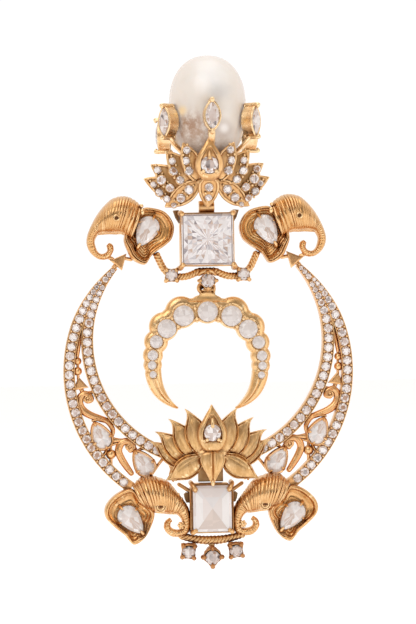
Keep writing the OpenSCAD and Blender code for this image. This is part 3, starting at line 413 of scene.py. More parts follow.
# ------------------------------------------------------------------ gems
def round_gem(r, table=0.58, crown=0.34, pav=0.72, dome=0.0):
    """Round cut stone with its girdle in the plane z = 0."""
    ang = lambda k: math.radians(k)
    T = [(table * math.cos(ang(45 * i)), table * math.sin(ang(45 * i)), crown) for i in range(8)]
    K = [(0.80 * math.cos(ang(45 * i + 22.5)), 0.80 * math.sin(ang(45 * i + 22.5)), crown * 0.56) for i in range(8)]
    G = [(math.cos(ang(22.5 * j)), math.sin(ang(22.5 * j)), 0.03) for j in range(16)]
    H = [(math.cos(ang(22.5 * j)), math.sin(ang(22.5 * j)), -0.03) for j in range(16)]
    L = [(0.32 * math.cos(ang(45 * i + 22.5)), 0.32 * math.sin(ang(45 * i + 22.5)), -pav * 0.76) for i in range(8)]
    v = np.array(T + K + G + H + L + [(0, 0, -pav), (0, 0, crown + dome)]) * r
    t, k, g, h, l, c, o = 0, 8, 16, 32, 48, 56, 57
    f = []
    for i in range(8):
        j = (i + 1) % 8
        p = (i - 1) % 8
        f.append((t + i, k + i, t + j))
        f.append((t + i, k + p, g + 2 * i, k + i))
        f.append((k + i, g + 2 * i, g + 2 * i + 1))
        f.append((k + i, g + 2 * i + 1, g + (2 * i + 2) % 16))
        f.append((c, l + i, h + 2 * i, l + p))
        f.append((l + i, h + 2 * i + 1, h + 2 * i))
        f.append((l + i, h + (2 * i + 2) % 16, h + 2 * i + 1))
        f.append((o, t + i, t + j))
    for j in range(16):
        f.append((g + j, h + j, h + (j + 1) % 16, g + (j + 1) % 16))
    return Shape().add(v, f, smooth=False)


def outline_gem(P, crown, pav, table=0.55, keel=0.25, mid=0.8, gird=0.05):
    """Cut stone of any outline: P in its own plane, girdle at z = 0."""
    P = np.asarray(P, float)
    n = len(P)
    c = P.mean(0)
    rel = P - c
    T = rel * table
    K = (rel + np.roll(rel, -1, 0)) / 2 * mid
    Q = (rel + np.roll(rel, -1, 0)) / 2 * (keel + 0.25)
    E = rel * keel * 0.3
    lay = [(T, crown), (K, crown * 0.6), (rel, gird), (rel, -gird), (Q, -pav * 0.7), (E, -pav)]
    v = np.vstack([np.c_[R + c, np.full(n, h)] for R, h in lay])
    t, k, g, h, q, e = [i * n for i in range(6)]
    f = [tuple(range(n)), tuple(range(e + n - 1, e - 1, -1))]
    for i in range(n):
        j = (i + 1) % n
        p = (i - 1) % n
        f.append((t + i, k + i, t + j))
        f.append((t + i, k + p, g + i, k + i))
        f.append((k + i, g + i, g + j))
        f.append((g + i, h + i, h + j, g + j))
        f.append((q + i, h + j, h + i))
        f.append((q + i, h + i, q + p, e + i))
        f.append((q + i, e + i, e + j))
    return Shape().add(v, f, smooth=False)


def square_gem(w, h, crown, pav, table=0.66, steps=3, corner=0.0):
    """Square or oblong stone with chevron facets behind the table, centred, girdle at z = 0."""
    hw, hh = w / 2, h / 2
    s = Shape()
    C = np.array([[-hw, -hh], [hw, -hh], [hw, hh], [-hw, hh]])
    if corner:
        Q = []
        for i in range(4):
            a, b, d = C[i - 1], C[i], C[(i + 1) % 4]
            Q += [b + unit(a - b) * corner, b + unit(d - b) * corner]
        C = np.array(Q)
    n = len(C)
    Mid = (C + np.roll(C, -1, 0)) / 2
    # crown: table, star points, girdle
    T = C * table
    K = Mid * (table + 0.17)
    v = np.vstack([np.c_[T, np.full(n, crown)], np.c_[K, np.full(n, crown * 0.62)], np.c_[C, np.full(n, 0.06)],
                   np.c_[C, np.full(n, -0.10)], np.c_[Mid, np.full(n, 0.06)], np.c_[Mid, np.full(n, -0.10)]])
    t, k, g, hh_, mg, mh = [i * n for i in range(6)]
    f = [tuple(range(n))]
    for i in range(n):
        j = (i + 1) % n
        f.append((t + i, k + i, t + j))
        f.append((t + i, g + i, k + i))
        f.append((t + j, k + i, g + j))
        f.append((k + i, g + i, mg + i))
        f.append((k + i, mg + i, g + j))
        f.append((g + i, hh_ + i, mh + i, mg + i))
        f.append((mg + i, mh + i, hh_ + j, g + j))
    s.add(v, f, smooth=False)
    # pavilion chevrons
    R = []
    for q in range(steps + 1):
        a = 1 - q / (steps + 0.35)
        depth = 0.10 + pav * (1 - a) ** 0.85
        R.append((np.c_[C * a, np.full(n, -depth)], np.c_[Mid * a * (0.93 if q else 1), np.full(n, -depth - (0.10 * pav if q else 0))]))
    V = np.vstack([np.vstack(r) for r in R] + [np.array([[0, 0, -pav - 0.12]])])
    F = []
    for q in range(steps):
        b0, b1 = q * 2 * n, (q + 1) * 2 * n
        for i in range(n):
            j = (i + 1) % n
            F.append((b0 + i, b1 + i, b0 + n + i))
            F.append((b1 + i, b1 + n + i, b0 + n + i))
            F.append((b0 + n + i, b1 + n + i, b1 + j))
            F.append((b0 + n + i, b1 + j, b0 + j))
    b = steps * 2 * n
    e = len(V) - 1
    for i in range(n):
        j = (i + 1) % n
        F.append((b + i, e, b + n + i))
        F.append((b + n + i, e, b + j))
    s.add(V, F, smooth=False)
    return s


def split_facet(s, P, tones, weights, lean=0.0):
    """One cut facet with a tone drawn from a short list."""
    s.add(np.array(P), [tuple(range(len(P)))], smooth=False, mat=RNG.choices(tones, weights)[0])


def princess(w, h, crown):
    """Square stone cut in chevrons: narrow facets that run from the middle lines to the corners."""
    s = Shape()
    C = [np.array(c, float) for c in ((-w, -h), (w, -h), (w, h), (-w, h))]
    T = [0.0, 0.22, 0.43, 0.62, 0.80, 0.96]
    k = 0.96
    n = 5
    for i in range(4):
        a, b = C[i] * k, C[(i + 1) % 4] * k
        M = (a + b) / 2
        for e, c in ((0, a), (1, b)):
            cut = [[0.0] + [r / n + RNG.uniform(-0.085, 0.085) for r in range(1, n)] + [1.0] for _ in T]
            rise = [[crown + (0.06 if (q + r) % 2 else -0.05) * (1 - 0.6 * t) + RNG.uniform(-0.035, 0.035) for r in range(n + 1)] for q, t in enumerate(T)]

            def node_at(q, r):
                m = M * T[q]
                p = m + (c * T[q] - m) * cut[q][r]
                h = crown + 0.02 if (q == 0 or r in (0, n)) else rise[q][r]
                return (p[0], p[1], h)
            for q in range(len(T) - 1):
                for r in range(n):
                    A, B, D, E = node_at(q, r), node_at(q + 1, r), node_at(q + 1, r + 1), node_at(q, r + 1)
                    halves = ((A, B, D), (A, D, E)) if (q + r) % 2 else ((A, B, E), (B, D, E))
                    for P in halves:
                        if q == 0 and len({(round(v[0], 4), round(v[1], 4)) for v in P}) < 3:
                            continue
                        P = list(P)
                        split_facet(s, P if e == 0 else P[::-1], (0, 1, 2, 3, 4), (0.46, 0.24, 0.17, 0.07, 0.06) if q < len(T) - 2 else (0.56, 0.28, 0.13, 0.02, 0.01))
        # bevel and girdle
        A, B = C[i], C[(i + 1) % 4]
        n = 5
        for q in range(n):
            u0, u1 = q / n, (q + 1) / n
            p0, p1, q0, q1 = A + (B - A) * u0, A + (B - A) * u1, a + (b - a) * u0, a + (b - a) * u1
            split_facet(s, [(p0[0], p0[1], 0.42), (p1[0], p1[1], 0.42), (q1[0], q1[1], crown - 0.03), (q0[0], q0[1], crown - 0.03)], (0, 1, 2, 3), (0.35, 0.35, 0.2, 0.1))
            s.add(np.array([(p0[0], p0[1], -0.2), (p1[0], p1[1], -0.2), (p1[0], p1[1], 0.42), (p0[0], p0[1], 0.42)]), [(0, 1, 2, 3)], smooth=False, mat=0)
            z0, z1 = A * 0.55 + (B - A) * 0.55 * u0, A * 0.55 + (B - A) * 0.55 * u1
            s.add(np.array([(z0[0], z0[1], -1.5), (z1[0], z1[1], -1.5), (p1[0], p1[1], -0.2), (p0[0], p0[1], -0.2)]), [(0, 1, 2, 3)], smooth=False, mat=1 + q % 2)
        s.add(np.array([(A[0] * 0.55, A[1] * 0.55, -1.5), (B[0] * 0.55, B[1] * 0.55, -1.5), (0, 0, -2.3)]), [(0, 1, 2)], smooth=False, mat=1)
    return s


def crossed(w, h, crown, cut):
    """Oblong stone with cut upper corners whose four big faces meet as an X."""
    s = Shape()
    O = [(-w + cut * 0.5, -h), (w - cut * 0.5, -h), (w, -h + cut * 0.5), (w, h - cut), (w - cut, h), (-w + cut, h), (-w, h - cut), (-w, -h + cut * 0.5)]
    O = [np.array(q, float) for q in O]
    n = len(O)
    I = [q * np.array([0.86, 0.88]) for q in O]
    J = [q * np.array([0.50, 0.50]) for q in O]
    outer = [3, 0, 0, 2, 1, 2, 0, 0]      # tones of the long faces and of the small corner faces, a painted light and shade: the lower face darkest, the sides lightest
    inner = [3, 1, 1, 1, 2, 1, 1, 1]
    mid = (0.0, 0.05, crown + 0.02)
    for i in range(n):
        a, b, c, d = O[i], O[(i + 1) % n], I[(i + 1) % n], I[i]
        m = 3 if np.linalg.norm(b - a) > 2 else 1
        for q in range(m):
            u0, u1 = q / m, (q + 1) / m
            p0, p1, q0, q1 = a + (b - a) * u0, a + (b - a) * u1, d + (c - d) * u0, d + (c - d) * u1
            split_facet(s, [(p0[0], p0[1], 0.12), (p1[0], p1[1], 0.12), (q1[0], q1[1], crown - 0.10), (q0[0], q0[1], crown - 0.10)], (0, 1, 2), (0.5, 0.35, 0.15))
            s.add(np.array([(p0[0], p0[1], -0.15), (p1[0], p1[1], -0.15), (p1[0], p1[1], 0.12), (p0[0], p0[1], 0.12)]), [(0, 1, 2, 3)], smooth=False, mat=2)
            z0, z1 = p0 * 0.5, p1 * 0.5
            s.add(np.array([(z0[0], z0[1], -1.5), (z1[0], z1[1], -1.5), (p1[0], p1[1], -0.15), (p0[0], p0[1], -0.15)]), [(0, 1, 2, 3)], smooth=False, mat=1)
            s.add(np.array([(z0[0], z0[1], -1.5), (z1[0], z1[1], -1.5), (0, 0, -1.7)]), [(0, 1, 2)], smooth=False, mat=2)
        j0, j1 = J[i], J[(i + 1) % n]
        s.add(np.array([(d[0], d[1], crown - 0.10), (c[0], c[1], crown - 0.10), (j1[0], j1[1], crown - 0.02), (j0[0], j0[1], crown - 0.02)]), [(0, 1, 2, 3)], smooth=False, mat=outer[i])
        s.add(np.array([(j0[0], j0[1], crown - 0.02), (j1[0], j1[1], crown - 0.02), mid]), [(0, 1, 2)], smooth=False, mat=inner[i])
    return s


def fan_pear(R, crown, pav, n=26):
    """Pear cut whose faces fan out from its round end towards the point, each with a tone of its own."""
    s = Shape()
    E = pear_edge(R, -0.02, n)
    tip, end = np.array(R[:2]), np.array(R[2:4])
    c = end + unit(tip - end) * R[4] * 1.15
    far = tip + (end - tip) * 0.30
    n = len(E)
    I = c + (E - c) * 0.76
    I = I + (far - I) * 0.04
    tone = 0
    for i in range(n):
        j = (i + 1) % n
        a, b, p, q = E[i], E[j], I[i], I[j]
        split_facet(s, [(a[0], a[1], 0.05), (b[0], b[1], 0.05), (q[0], q[1], crown * 0.72), (p[0], p[1], crown * 0.72)], (0, 1, 2), (0.5, 0.35, 0.15))
        if i % 3 == 0:
            tone = RNG.choices((0, 1, 2), (0.50, 0.40, 0.10))[0]
        K = c + (I[i] - c) * 0.5, c + (I[j] - c) * 0.5
        along = float(np.dot(unit((I[i] + I[j]) / 2 - c), unit(tip - end)))
        warm = 3 if i % 4 else 1
        s.add(np.array([(p[0], p[1], crown * 0.72), (q[0], q[1], crown * 0.72), (K[1][0], K[1][1], crown * 0.98), (K[0][0], K[0][1], crown * 0.98)]), [(0, 1, 2, 3)], smooth=False, mat=warm if along > 0.90 else tone)
        s.add(np.array([(K[0][0], K[0][1], crown * 0.98), (K[1][0], K[1][1], crown * 0.98), (c[0], c[1], crown)]), [(0, 1, 2)], smooth=False, mat=warm if along > 0.45 else tone)
        s.add(np.array([(a[0], a[1], -0.05), (b[0], b[1], -0.05), (b[0], b[1], 0.05), (a[0], a[1], 0.05)]), [(0, 1, 2, 3)], smooth=False, mat=2)
        k0, k1 = c + (a - c) * 0.35, c + (b - c) * 0.35
        s.add(np.array([(k0[0], k0[1], -pav * 0.9), (k1[0], k1[1], -pav * 0.9), (b[0], b[1], -0.05), (a[0], a[1], -0.05)]), [(0, 1, 2, 3)], smooth=False, mat=1)
        s.add(np.array([(c[0], c[1], -pav), (k1[0], k1[1], -pav * 0.9), (k0[0], k0[1], -pav * 0.9)]), [(0, 1, 2)], smooth=False, mat=1)
    return s


def place_front(x, z, f, tilt=(0.0, 0.0), spin=0.0):
    """Moves a stone from its own plane to a place in the front view; tilt leans its face to +x and to +z."""
    ca, sa = math.cos(spin), math.sin(spin)
    n = unit([tilt[0], -1.0, tilt[1]])
    u = unit(np.cross([0, 0, 1.0], n))
    w = np.cross(n, u)

    def move(v):
        a = v[:, 0] * ca - v[:, 1] * sa
        b = v[:, 0] * sa + v[:, 1] * ca
        return at(x, z, f) + np.outer(a, u) + np.outer(b, w) + np.outer(v[:, 2], n)
    return move


def prong(x, z, r, f_top, f_base, lean=(0.0, 0.0)):
    """Small claw with a rounded head, from f_base up to f_top."""
    p = [at(x - lean[0] * (1 - k), z - lean[1] * (1 - k), f_base + (f_top - r * 0.6 - f_base) * k) for k in (0, 0.5, 1.0)]
    return tube(np.array(p), [r * 0.85, r * 0.9, r], n=12, up=(1, 0, 0))


# ------------------------------------------------------------------ finishes
def new_material(name):
    m = bpy.data.materials.new(name)
    m.use_nodes = True
    nt = m.node_tree
    nt.nodes.clear()
    return m, nt


def node(nt, kind, **values):
    n = nt.nodes.new(kind)
    for k, v in values.items():
        if k in n.inputs:
            n.inputs[k].default_value = v
        else:
            setattr(n, k, v)
    return n


def noise(nt, coords, scale, detail=3.0, rough=0.55):
    n = node(nt, "ShaderNodeTexNoise", Scale=scale, Detail=detail, Roughness=rough)
    nt.links.new(coords, n.inputs["Vector"])
    return n.outputs["Fac"]


def ramp(nt, fac, stops):
    r = nt.nodes.new("ShaderNodeValToRGB")
    e = r.color_ramp.elements
    while len(e) < len(stops):
        e.new(0.5)
    for k, (p, c) in enumerate(stops):
        e[k].position = p
        e[k].color = (c[0], c[1], c[2], 1.0) if isinstance(c, (tuple, list)) else (c, c, c, 1.0)
    nt.links.new(fac, r.inputs["Fac"])
    return r.outputs["Color"]


def mix_color(nt, fac, a, b, mode="MIX"):
    m = nt.nodes.new("ShaderNodeMix")
    m.data_type = "RGBA"
    m.blend_type = mode
    for sock, val in ((m.inputs[0], fac), (m.inputs[6], a), (m.inputs[7], b)):
        if isinstance(val, bpy.types.NodeSocket):
            nt.links.new(val, sock)
        elif isinstance(val, (int, float)):
            sock.default_value = val
        else:
            sock.default_value = (val[0], val[1], val[2], 1.0)
    return m.outputs[2]


def bump(nt, height, strength, dist, normal=None):
    b = node(nt, "ShaderNodeBump", Strength=strength, Distance=dist)
    nt.links.new(height, b.inputs["Height"])
    if normal is not None:
        nt.links.new(normal, b.inputs["Normal"])
    return b.outputs["Normal"]


def gold_material(name, base=(0.66, 0.345, 0.125), deep=(0.21, 0.062, 0.014), rough=0.33, ao=1.0, grain=0.35, light=(0.90, 0.62, 0.32), shade=1.0, cavity_shade=0.6, mottle=0.0):
    """Matte gilt casting: fine grain, slow changes of tone, painted shade that is darker and redder in crevices and
    hollows, edges painted lighter as part wear, part painted highlight.
    """
    m, nt = new_material(name)
    tc = nt.nodes.new("ShaderNodeTexCoord").outputs["Object"]
    fine = noise(nt, tc, 7000.0, 4.0, 0.6)
    mid = noise(nt, tc, 1500.0, 3.0)
    slow = noise(nt, tc, 330.0, 2.0)
    tone = mix_color(nt, ramp(nt, slow, [(0.35, 0.0), (0.65, 1.0)]), base,
                     (min(base[0] * 1.05, 1), base[1] * 1.10, base[2] * 1.25))
    tone = mix_color(nt, ramp(nt, mid, [(0.42, 0.0), (0.62, 0.35)]), tone, (base[0] * 0.84, base[1] * 0.76, base[2] * 0.62))
    if mottle:
        # worn satin: streaky darker patches
        mp = node(nt, "ShaderNodeMapping", vector_type="POINT")
        nt.links.new(tc, mp.inputs["Vector"])
        mp.inputs["Rotation"].default_value = (0.0, 0.6, 0.0)
        mp.inputs["Scale"].default_value = (1.0, 1.0, 0.35)
        patch = ramp(nt, noise(nt, mp.outputs[0], 1900.0, 5.0, 0.65), [(0.46, 0.0), (0.58, mottle)])
        tone = mix_color(nt, patch, tone, (base[0] * 0.66, base[1] * 0.55, base[2] * 0.42))
    geo = nt.nodes.new("ShaderNodeNewGeometry")
    # edges and ridges painted toward the light colour: part worn gilt, part painted highlight
    worn_edge_and_highlight = ramp(nt, geo.outputs["Pointiness"], [(0.505, 0.0), (0.60, 0.85)])
    tone = mix_color(nt, worn_edge_and_highlight, tone, light)
    # painted shade: occluded crevices and gaps between parts blend to the deep colour
    occ = node(nt, "ShaderNodeAmbientOcclusion", Distance=ao * MM, samples=10)
    crevice_shade = ramp(nt, occ.outputs["AO"], [(0.12, shade), (0.50, 0.48 * shade), (0.88, 0.0)])
    tone = mix_color(nt, crevice_shade, tone, deep)
    # painted shade: concave places blend to the deep colour as well
    low = ramp(nt, geo.outputs["Pointiness"], [(0.42, cavity_shade), (0.485, 0.0)])
    tone = mix_color(nt, low, tone, deep)
    p = node(nt, "ShaderNodeBsdfPrincipled", Metallic=1.0, Roughness=rough)
    nt.links.new(tone, p.inputs["Base Color"])
    rr = ramp(nt, mid, [(0.30, rough - 0.06), (0.72, rough + 0.09)])
    nt.links.new(rr, p.inputs["Roughness"])
    nrm = bump(nt, fine, grain, 0.00002)
    nrm = bump(nt, mid, grain * 0.6, 0.00004, nrm)
    nt.links.new(nrm, p.inputs["Normal"])
    out = nt.nodes.new("ShaderNodeOutputMaterial")
    nt.links.new(p.outputs[0], out.inputs["Surface"])
    return m


def stone_material(name, tones, clear=0.35, ior=1.9, tint=(0.98, 0.94, 0.93), coat=0.6, cells=9.0, cloud=900.0):
    """Cut stone: some clear glass over a body in which every facet has its own tone, as light thrown back does."""
    m, nt = new_material(name)
    tc = nt.nodes.new("ShaderNodeTexCoord").outputs["Object"]
    slow = noise(nt, tc, cloud, 2.0)
    fine = noise(nt, tc, 5000.0, 2.0)
    geo = nt.nodes.new("ShaderNodeNewGeometry")
    sc = node(nt, "ShaderNodeVectorMath", operation="SCALE")
    nt.links.new(geo.outputs["True Normal"], sc.inputs[0])
    sc.inputs["Scale"].default_value = cells
    # each stone gets its own draw from where it sits
    ps = node(nt, "ShaderNodeVectorMath", operation="SCALE")
    nt.links.new(tc, ps.inputs[0])
    ps.inputs["Scale"].default_value = 260.0
    fl = node(nt, "ShaderNodeVectorMath", operation="FLOOR")
    nt.links.new(ps.outputs[0], fl.inputs[0])
    ad = node(nt, "ShaderNodeVectorMath", operation="ADD")
    rd = node(nt, "ShaderNodeVectorMath", operation="FLOOR")
    nt.links.new(sc.outputs[0], rd.inputs[0])
    nt.links.new(rd.outputs[0], ad.inputs[0])
    nt.links.new(fl.outputs[0], ad.inputs[1])
    wn = nt.nodes.new("ShaderNodeTexWhiteNoise")
    wn.noise_dimensions = "3D"
    nt.links.new(ad.outputs[0], wn.inputs["Vector"])
    draw = node(nt, "ShaderNodeMath", operation="MULTIPLY_ADD")
    nt.links.new(slow, draw.inputs[0])
    draw.inputs[1].default_value = 0.35
    sub = node(nt, "ShaderNodeMath", operation="MULTIPLY_ADD")
    nt.links.new(wn.outputs["Value"], sub.inputs[0])
    sub.inputs[1].default_value = 0.95
    sub.inputs[2].default_value = -0.15
    nt.links.new(sub.outputs[0], draw.inputs[2])
    facet = ramp(nt, draw.outputs[0], tones)
    glass = node(nt, "ShaderNodeBsdfPrincipled", Roughness=0.02, IOR=ior)
    glass.inputs["Transmission Weight"].default_value = 1.0
    glass.inputs["Base Color"].default_value = (tint[0], tint[1], tint[2], 1.0)
    body = node(nt, "ShaderNodeBsdfPrincipled", Roughness=0.16, IOR=1.55)
    body.inputs["Coat Weight"].default_value = coat
    body.inputs["Coat Roughness"].default_value = 0.03
    nt.links.new(facet, body.inputs["Base Color"])
    # faint painted glow: every facet also gives off its own tone
    nt.links.new(facet, body.inputs["Emission Color"])
    body.inputs["Emission Strength"].default_value = 0.10
    nt.links.new(bump(nt, fine, 0.05, 0.00001), body.inputs["Normal"])
    mx = node(nt, "ShaderNodeMixShader", Fac=1.0 - clear)
    nt.links.new(glass.outputs[0], mx.inputs[1])
    nt.links.new(body.outputs[0], mx.inputs[2])
    out = nt.nodes.new("ShaderNodeOutputMaterial")
    nt.links.new(mx.outputs[0], out.inputs["Surface"])
    return m


def pearl_material():
    """Nacre: creamy and a little grey, darker and pinker to the edge as part overtone, part painted edge shade; a
    painted highlight at the top, painted reflections of the crown as warm shapes on its lower half, a painted glint and
    a painted round reflection.
    """
    m, nt = new_material("pearl")
    tc = nt.nodes.new("ShaderNodeTexCoord").outputs["Object"]
    slow = noise(nt, tc, 140.0, 3.0)
    mid = noise(nt, tc, 700.0, 3.0)
    lw = node(nt, "ShaderNodeLayerWeight", Blend=0.35)
    body = mix_color(nt, ramp(nt, slow, [(0.38, 0.0), (0.66, 1.0)]), (0.845, 0.785, 0.73), (0.77, 0.715, 0.66))
    body = mix_color(nt, ramp(nt, mid, [(0.45, 0.0), (0.7, 0.25)]), body, (0.80, 0.71, 0.60))
    # darker and pinker towards the outline: part nacre overtone, part painted edge shade
    body = mix_color(nt, ramp(nt, lw.outputs["Facing"], [(0.15, 0.0), (0.85, 0.75)]), body, (0.74, 0.62, 0.54))
    sep = nt.nodes.new("ShaderNodeSeparateXYZ")
    nt.links.new(tc, sep.inputs[0])

    def spot(x, z, rx, rz, amount=1.0, wobble=0.35):
        """Fades from a place on the front of the pearl outward, with an uneven edge."""
        mp = node(nt, "ShaderNodeMapping", vector_type="POINT")
        nt.links.new(tc, mp.inputs["Vector"])
        mp.inputs["Location"].default_value = (-x / rx, 0, -z / rz)
        mp.inputs["Scale"].default_value = (1 / (rx * MM), 0, 1 / (rz * MM))
        ln = node(nt, "ShaderNodeVectorMath", operation="LENGTH")
        nt.links.new(mp.outputs[0], ln.inputs[0])
        wob = node(nt, "ShaderNodeMath", operation="MULTIPLY_ADD")
        nt.links.new(noise(nt, tc, 600.0, 3.0), wob.inputs[0])
        wob.inputs[1].default_value = wobble * 2
        nt.links.new(ln.outputs["Value"], wob.inputs[2])
        r = node(nt, "ShaderNodeMapRange", interpolation_type="SMOOTHERSTEP")
        nt.links.new(wob.outputs[0], r.inputs["Value"])
        r.inputs["From Min"].default_value = 1.0 + wobble
        r.inputs["From Max"].default_value = wobble
        r.inputs["To Min"].default_value = 0.0
        r.inputs["To Max"].default_value = amount
        return r.outputs[0]
    speck = ramp(nt, noise(nt, tc, 900.0, 4.0, 0.65), [(0.38, 0.25), (0.60, 1.0)])

    def times(u, v):
        k = node(nt, "ShaderNodeMath", operation="MULTIPLY")
        nt.links.new(u, k.inputs[0])
        nt.links.new(v, k.inputs[1])
        return k.outputs[0]
    # painted highlight near the top
    body = mix_color(nt, spot(0.6, 16.0, 5.2, 5.2, 0.8, 0.1), body, (0.93, 0.925, 0.92))
    # painted reflection: a grey patch to the right of and below the highlight
    body = mix_color(nt, spot(2.0, 13.0, 3.0, 2.4, 0.50, 0.3), body, (0.55, 0.54, 0.54))
    # painted reflections of the crown: mottled brown patches on the lower half
    body = mix_color(nt, times(spot(-3.0, 7.4, 4.2, 4.4, 1.0, 0.25), speck), body, (0.37, 0.20, 0.11))
    body = mix_color(nt, times(spot(-1.0, 6.0, 3.8, 3.0, 0.90, 0.25), speck), body, (0.42, 0.25, 0.15))
    body = mix_color(nt, times(spot(1.0, 4.8, 6.0, 3.8, 0.62, 0.25), speck), body, (0.50, 0.34, 0.23))
    # painted glint, yellow, on the left
    body = mix_color(nt, spot(-4.1, 10.2, 1.1, 1.3, 0.80, 0.15), body, (0.95, 0.74, 0.42))
    # painted round reflection: a darker ring round a bright disc
    body = mix_color(nt, spot(2.7, 6.9, 2.7, 2.6, 0.80, 0.1), body, (0.50, 0.40, 0.34))
    body = mix_color(nt, spot(2.5, 7.2, 1.5, 1.4, 0.85, 0.05), body, (0.95, 0.92, 0.90))
    p = node(nt, "ShaderNodeBsdfPrincipled", Roughness=0.38, IOR=1.5)
    p.inputs["Subsurface Weight"].default_value = 0.15
    p.inputs["Subsurface Radius"].default_value = (1.0, 0.75, 0.6)
    p.inputs["Subsurface Scale"].default_value = 0.0012
    p.inputs["Coat Weight"].default_value = 0.7
    p.inputs["Coat Roughness"].default_value = 0.24
    p.inputs["Coat IOR"].default_value = 1.6
    nt.links.new(body, p.inputs["Base Color"])
    nt.links.new(bump(nt, mid, 0.12, 0.00004), p.inputs["Normal"])
    out = nt.nodes.new("ShaderNodeOutputMaterial")
    nt.links.new(p.outputs[0], out.inputs["Surface"])
    return m


# dark brown ball set in each elephant's eye: painted shade of the eye's hollow
def eye_hollow_shade_material():
    m, nt = new_material("eye_hollow_shade")
    tc = nt.nodes.new("ShaderNodeTexCoord").outputs["Object"]
    f = noise(nt, tc, 4000.0)
    p = node(nt, "ShaderNodeBsdfPrincipled", Roughness=0.35, Metallic=0.6)
    nt.links.new(mix_color(nt, f, (0.10, 0.035, 0.012), (0.17, 0.07, 0.025)), p.inputs["Base Color"])
    nt.links.new(bump(nt, f, 0.2, 0.00001), p.inputs["Normal"])
    out = nt.nodes.new("ShaderNodeOutputMaterial")
    nt.links.new(p.outputs[0], out.inputs["Surface"])
    return m


GOLD = gold_material("gilt_matte")
GOLD_HEAD = gold_material("gilt_elephant", base=(0.70, 0.375, 0.14), deep=(0.20, 0.055, 0.012), rough=0.25, ao=0.7, grain=0.12, light=(1.0, 0.74, 0.42), shade=0.95, cavity_shade=0.85, mottle=0.25)
GOLD_LOTUS = gold_material("gilt_lotus", base=(0.80, 0.475, 0.205), deep=(0.22, 0.06, 0.012), ao=1.25, shade=1.0, light=(1.0, 0.76, 0.44), mottle=0.35)
# darker, redder copy of the gilt: painted shade on the lower garland's cups
GOLD_CUP_SHADE = gold_material("gilt_cup_shade", base=(0.42, 0.17, 0.06), deep=(0.14, 0.035, 0.008), ao=1.2, light=(0.62, 0.33, 0.14))
GOLD_LOW = gold_material("gilt_low", base=(0.75, 0.42, 0.17), deep=(0.20, 0.055, 0.012), rough=0.25, ao=0.6, grain=0.12, light=(1.0, 0.74, 0.42), shade=0.85, cavity_shade=0.7, mottle=0.25)
GOLD_DROP = gold_material("gilt_drop", base=(0.86, 0.54, 0.245), rough=0.30, ao=0.7, grain=0.2, light=(1.0, 0.78, 0.48), shade=0.8, cavity_shade=0.5)
# lighter copy of the gilt for the crown: glossier, and its brighter tone is a painted highlight
GOLD_CROWN_LIT = gold_material("gilt_crown_lit", base=(0.90, 0.60, 0.31), deep=(0.26, 0.09, 0.02), rough=0.27, ao=0.8, grain=0.25, light=(1.0, 0.80, 0.50))
GOLD_SATIN = gold_material("gilt_satin", base=(0.78, 0.485, 0.215), deep=(0.28, 0.085, 0.02), rough=0.35, ao=1.2, mottle=0.55, grain=0.10, light=(1.0, 0.76, 0.44))
GOLD_PAVE = gold_material("gilt_pave", base=(0.79, 0.43, 0.18), deep=(0.27, 0.085, 0.02), rough=0.27, ao=0.5, grain=0.2)
GOLD_SHADE = gold_material("gilt_shaded", base=(0.40, 0.23, 0.10), deep=(0.12, 0.045, 0.012), rough=0.42, ao=2.0, light=(0.6, 0.4, 0.2))
EYE_HOLLOW_SHADE = eye_hollow_shade_material()
PEARL = pearl_material()
# facet tones of the cut stones: partly the stones' own pale pink, mostly painted reflection, sparkle and shade
BRIGHT = (0.94, 0.90, 0.89)
WHITE, PINK, GREY, BROWN, BLACK = (0.86, 0.81, 0.79), (0.66, 0.54, 0.49), (0.42, 0.37, 0.36), (0.40, 0.22, 0.13), (0.13, 0.10, 0.10)
CLEAR = stone_material("stone_clear", [(0.0, BLACK), (0.12, GREY), (0.24, PINK), (0.46, WHITE), (0.78, PINK), (0.88, BROWN), (0.96, WHITE)], clear=0.18)
PAVE = stone_material("stone_pave", [(0.0, BLACK), (0.08, GREY), (0.24, PINK), (0.36, BRIGHT), (0.70, BRIGHT), (0.80, PINK), (0.95, BROWN)], clear=0.12)
CLOUDY = stone_material("stone_cloudy", [(0.0, (0.62, 0.565, 0.545)), (0.35, (0.68, 0.625, 0.605)), (0.65, (0.725, 0.67, 0.65)), (0.95, (0.82, 0.78, 0.765))], clear=0.10)
MILKY = stone_material("stone_milky", [(0.0, (0.46, 0.33, 0.28)), (0.2, PINK), (0.50, (0.70, 0.62, 0.59)), (0.88, WHITE)], clear=0.12)

# palettes of five tones; every facet of a stone takes one: painted reflection and shade
SOFT = [stone_material("soft_%s" % n, [(0.0, tuple(q * 0.93 for q in c)), (1.0, tuple(min(q * 1.07, 1.0) for q in c))], clear=0.12, cloud=1100.0)
        for n, c in (("white", (0.81, 0.775, 0.765)), ("rose", (0.72, 0.645, 0.615)), ("grey", (0.655, 0.62, 0.615)), ("tan", (0.60, 0.475, 0.41)), ("smoke", (0.36, 0.31, 0.30)))]

SPARK = [stone_material("bright_%s" % n, [(0.0, tuple(q * 0.92 for q in c)), (1.0, tuple(min(q * 1.08, 1.0) for q in c))], clear=0.18, cloud=1100.0)
          for n, c in (("white", (0.86, 0.83, 0.835)), ("rose", (0.69, 0.60, 0.58)), ("grey", (0.59, 0.56, 0.585)), ("tan", (0.61, 0.46, 0.38)), ("smoke", (0.33, 0.29, 0.30)))]

MISTY = [stone_material("misty_%s" % n, [(0.0, tuple(q * 0.95 for q in c)), (1.0, tuple(min(q * 1.05, 1.0) for q in c))], clear=0.10, cloud=700.0)
         for n, c in (("white", (0.81, 0.775, 0.765)), ("rose", (0.735, 0.665, 0.64)), ("grey", (0.72, 0.68, 0.675)), ("tan", (0.645, 0.54, 0.485)), ("smoke", (0.5, 0.45, 0.43)))]

BODY = "frame"
DROP = "drop"


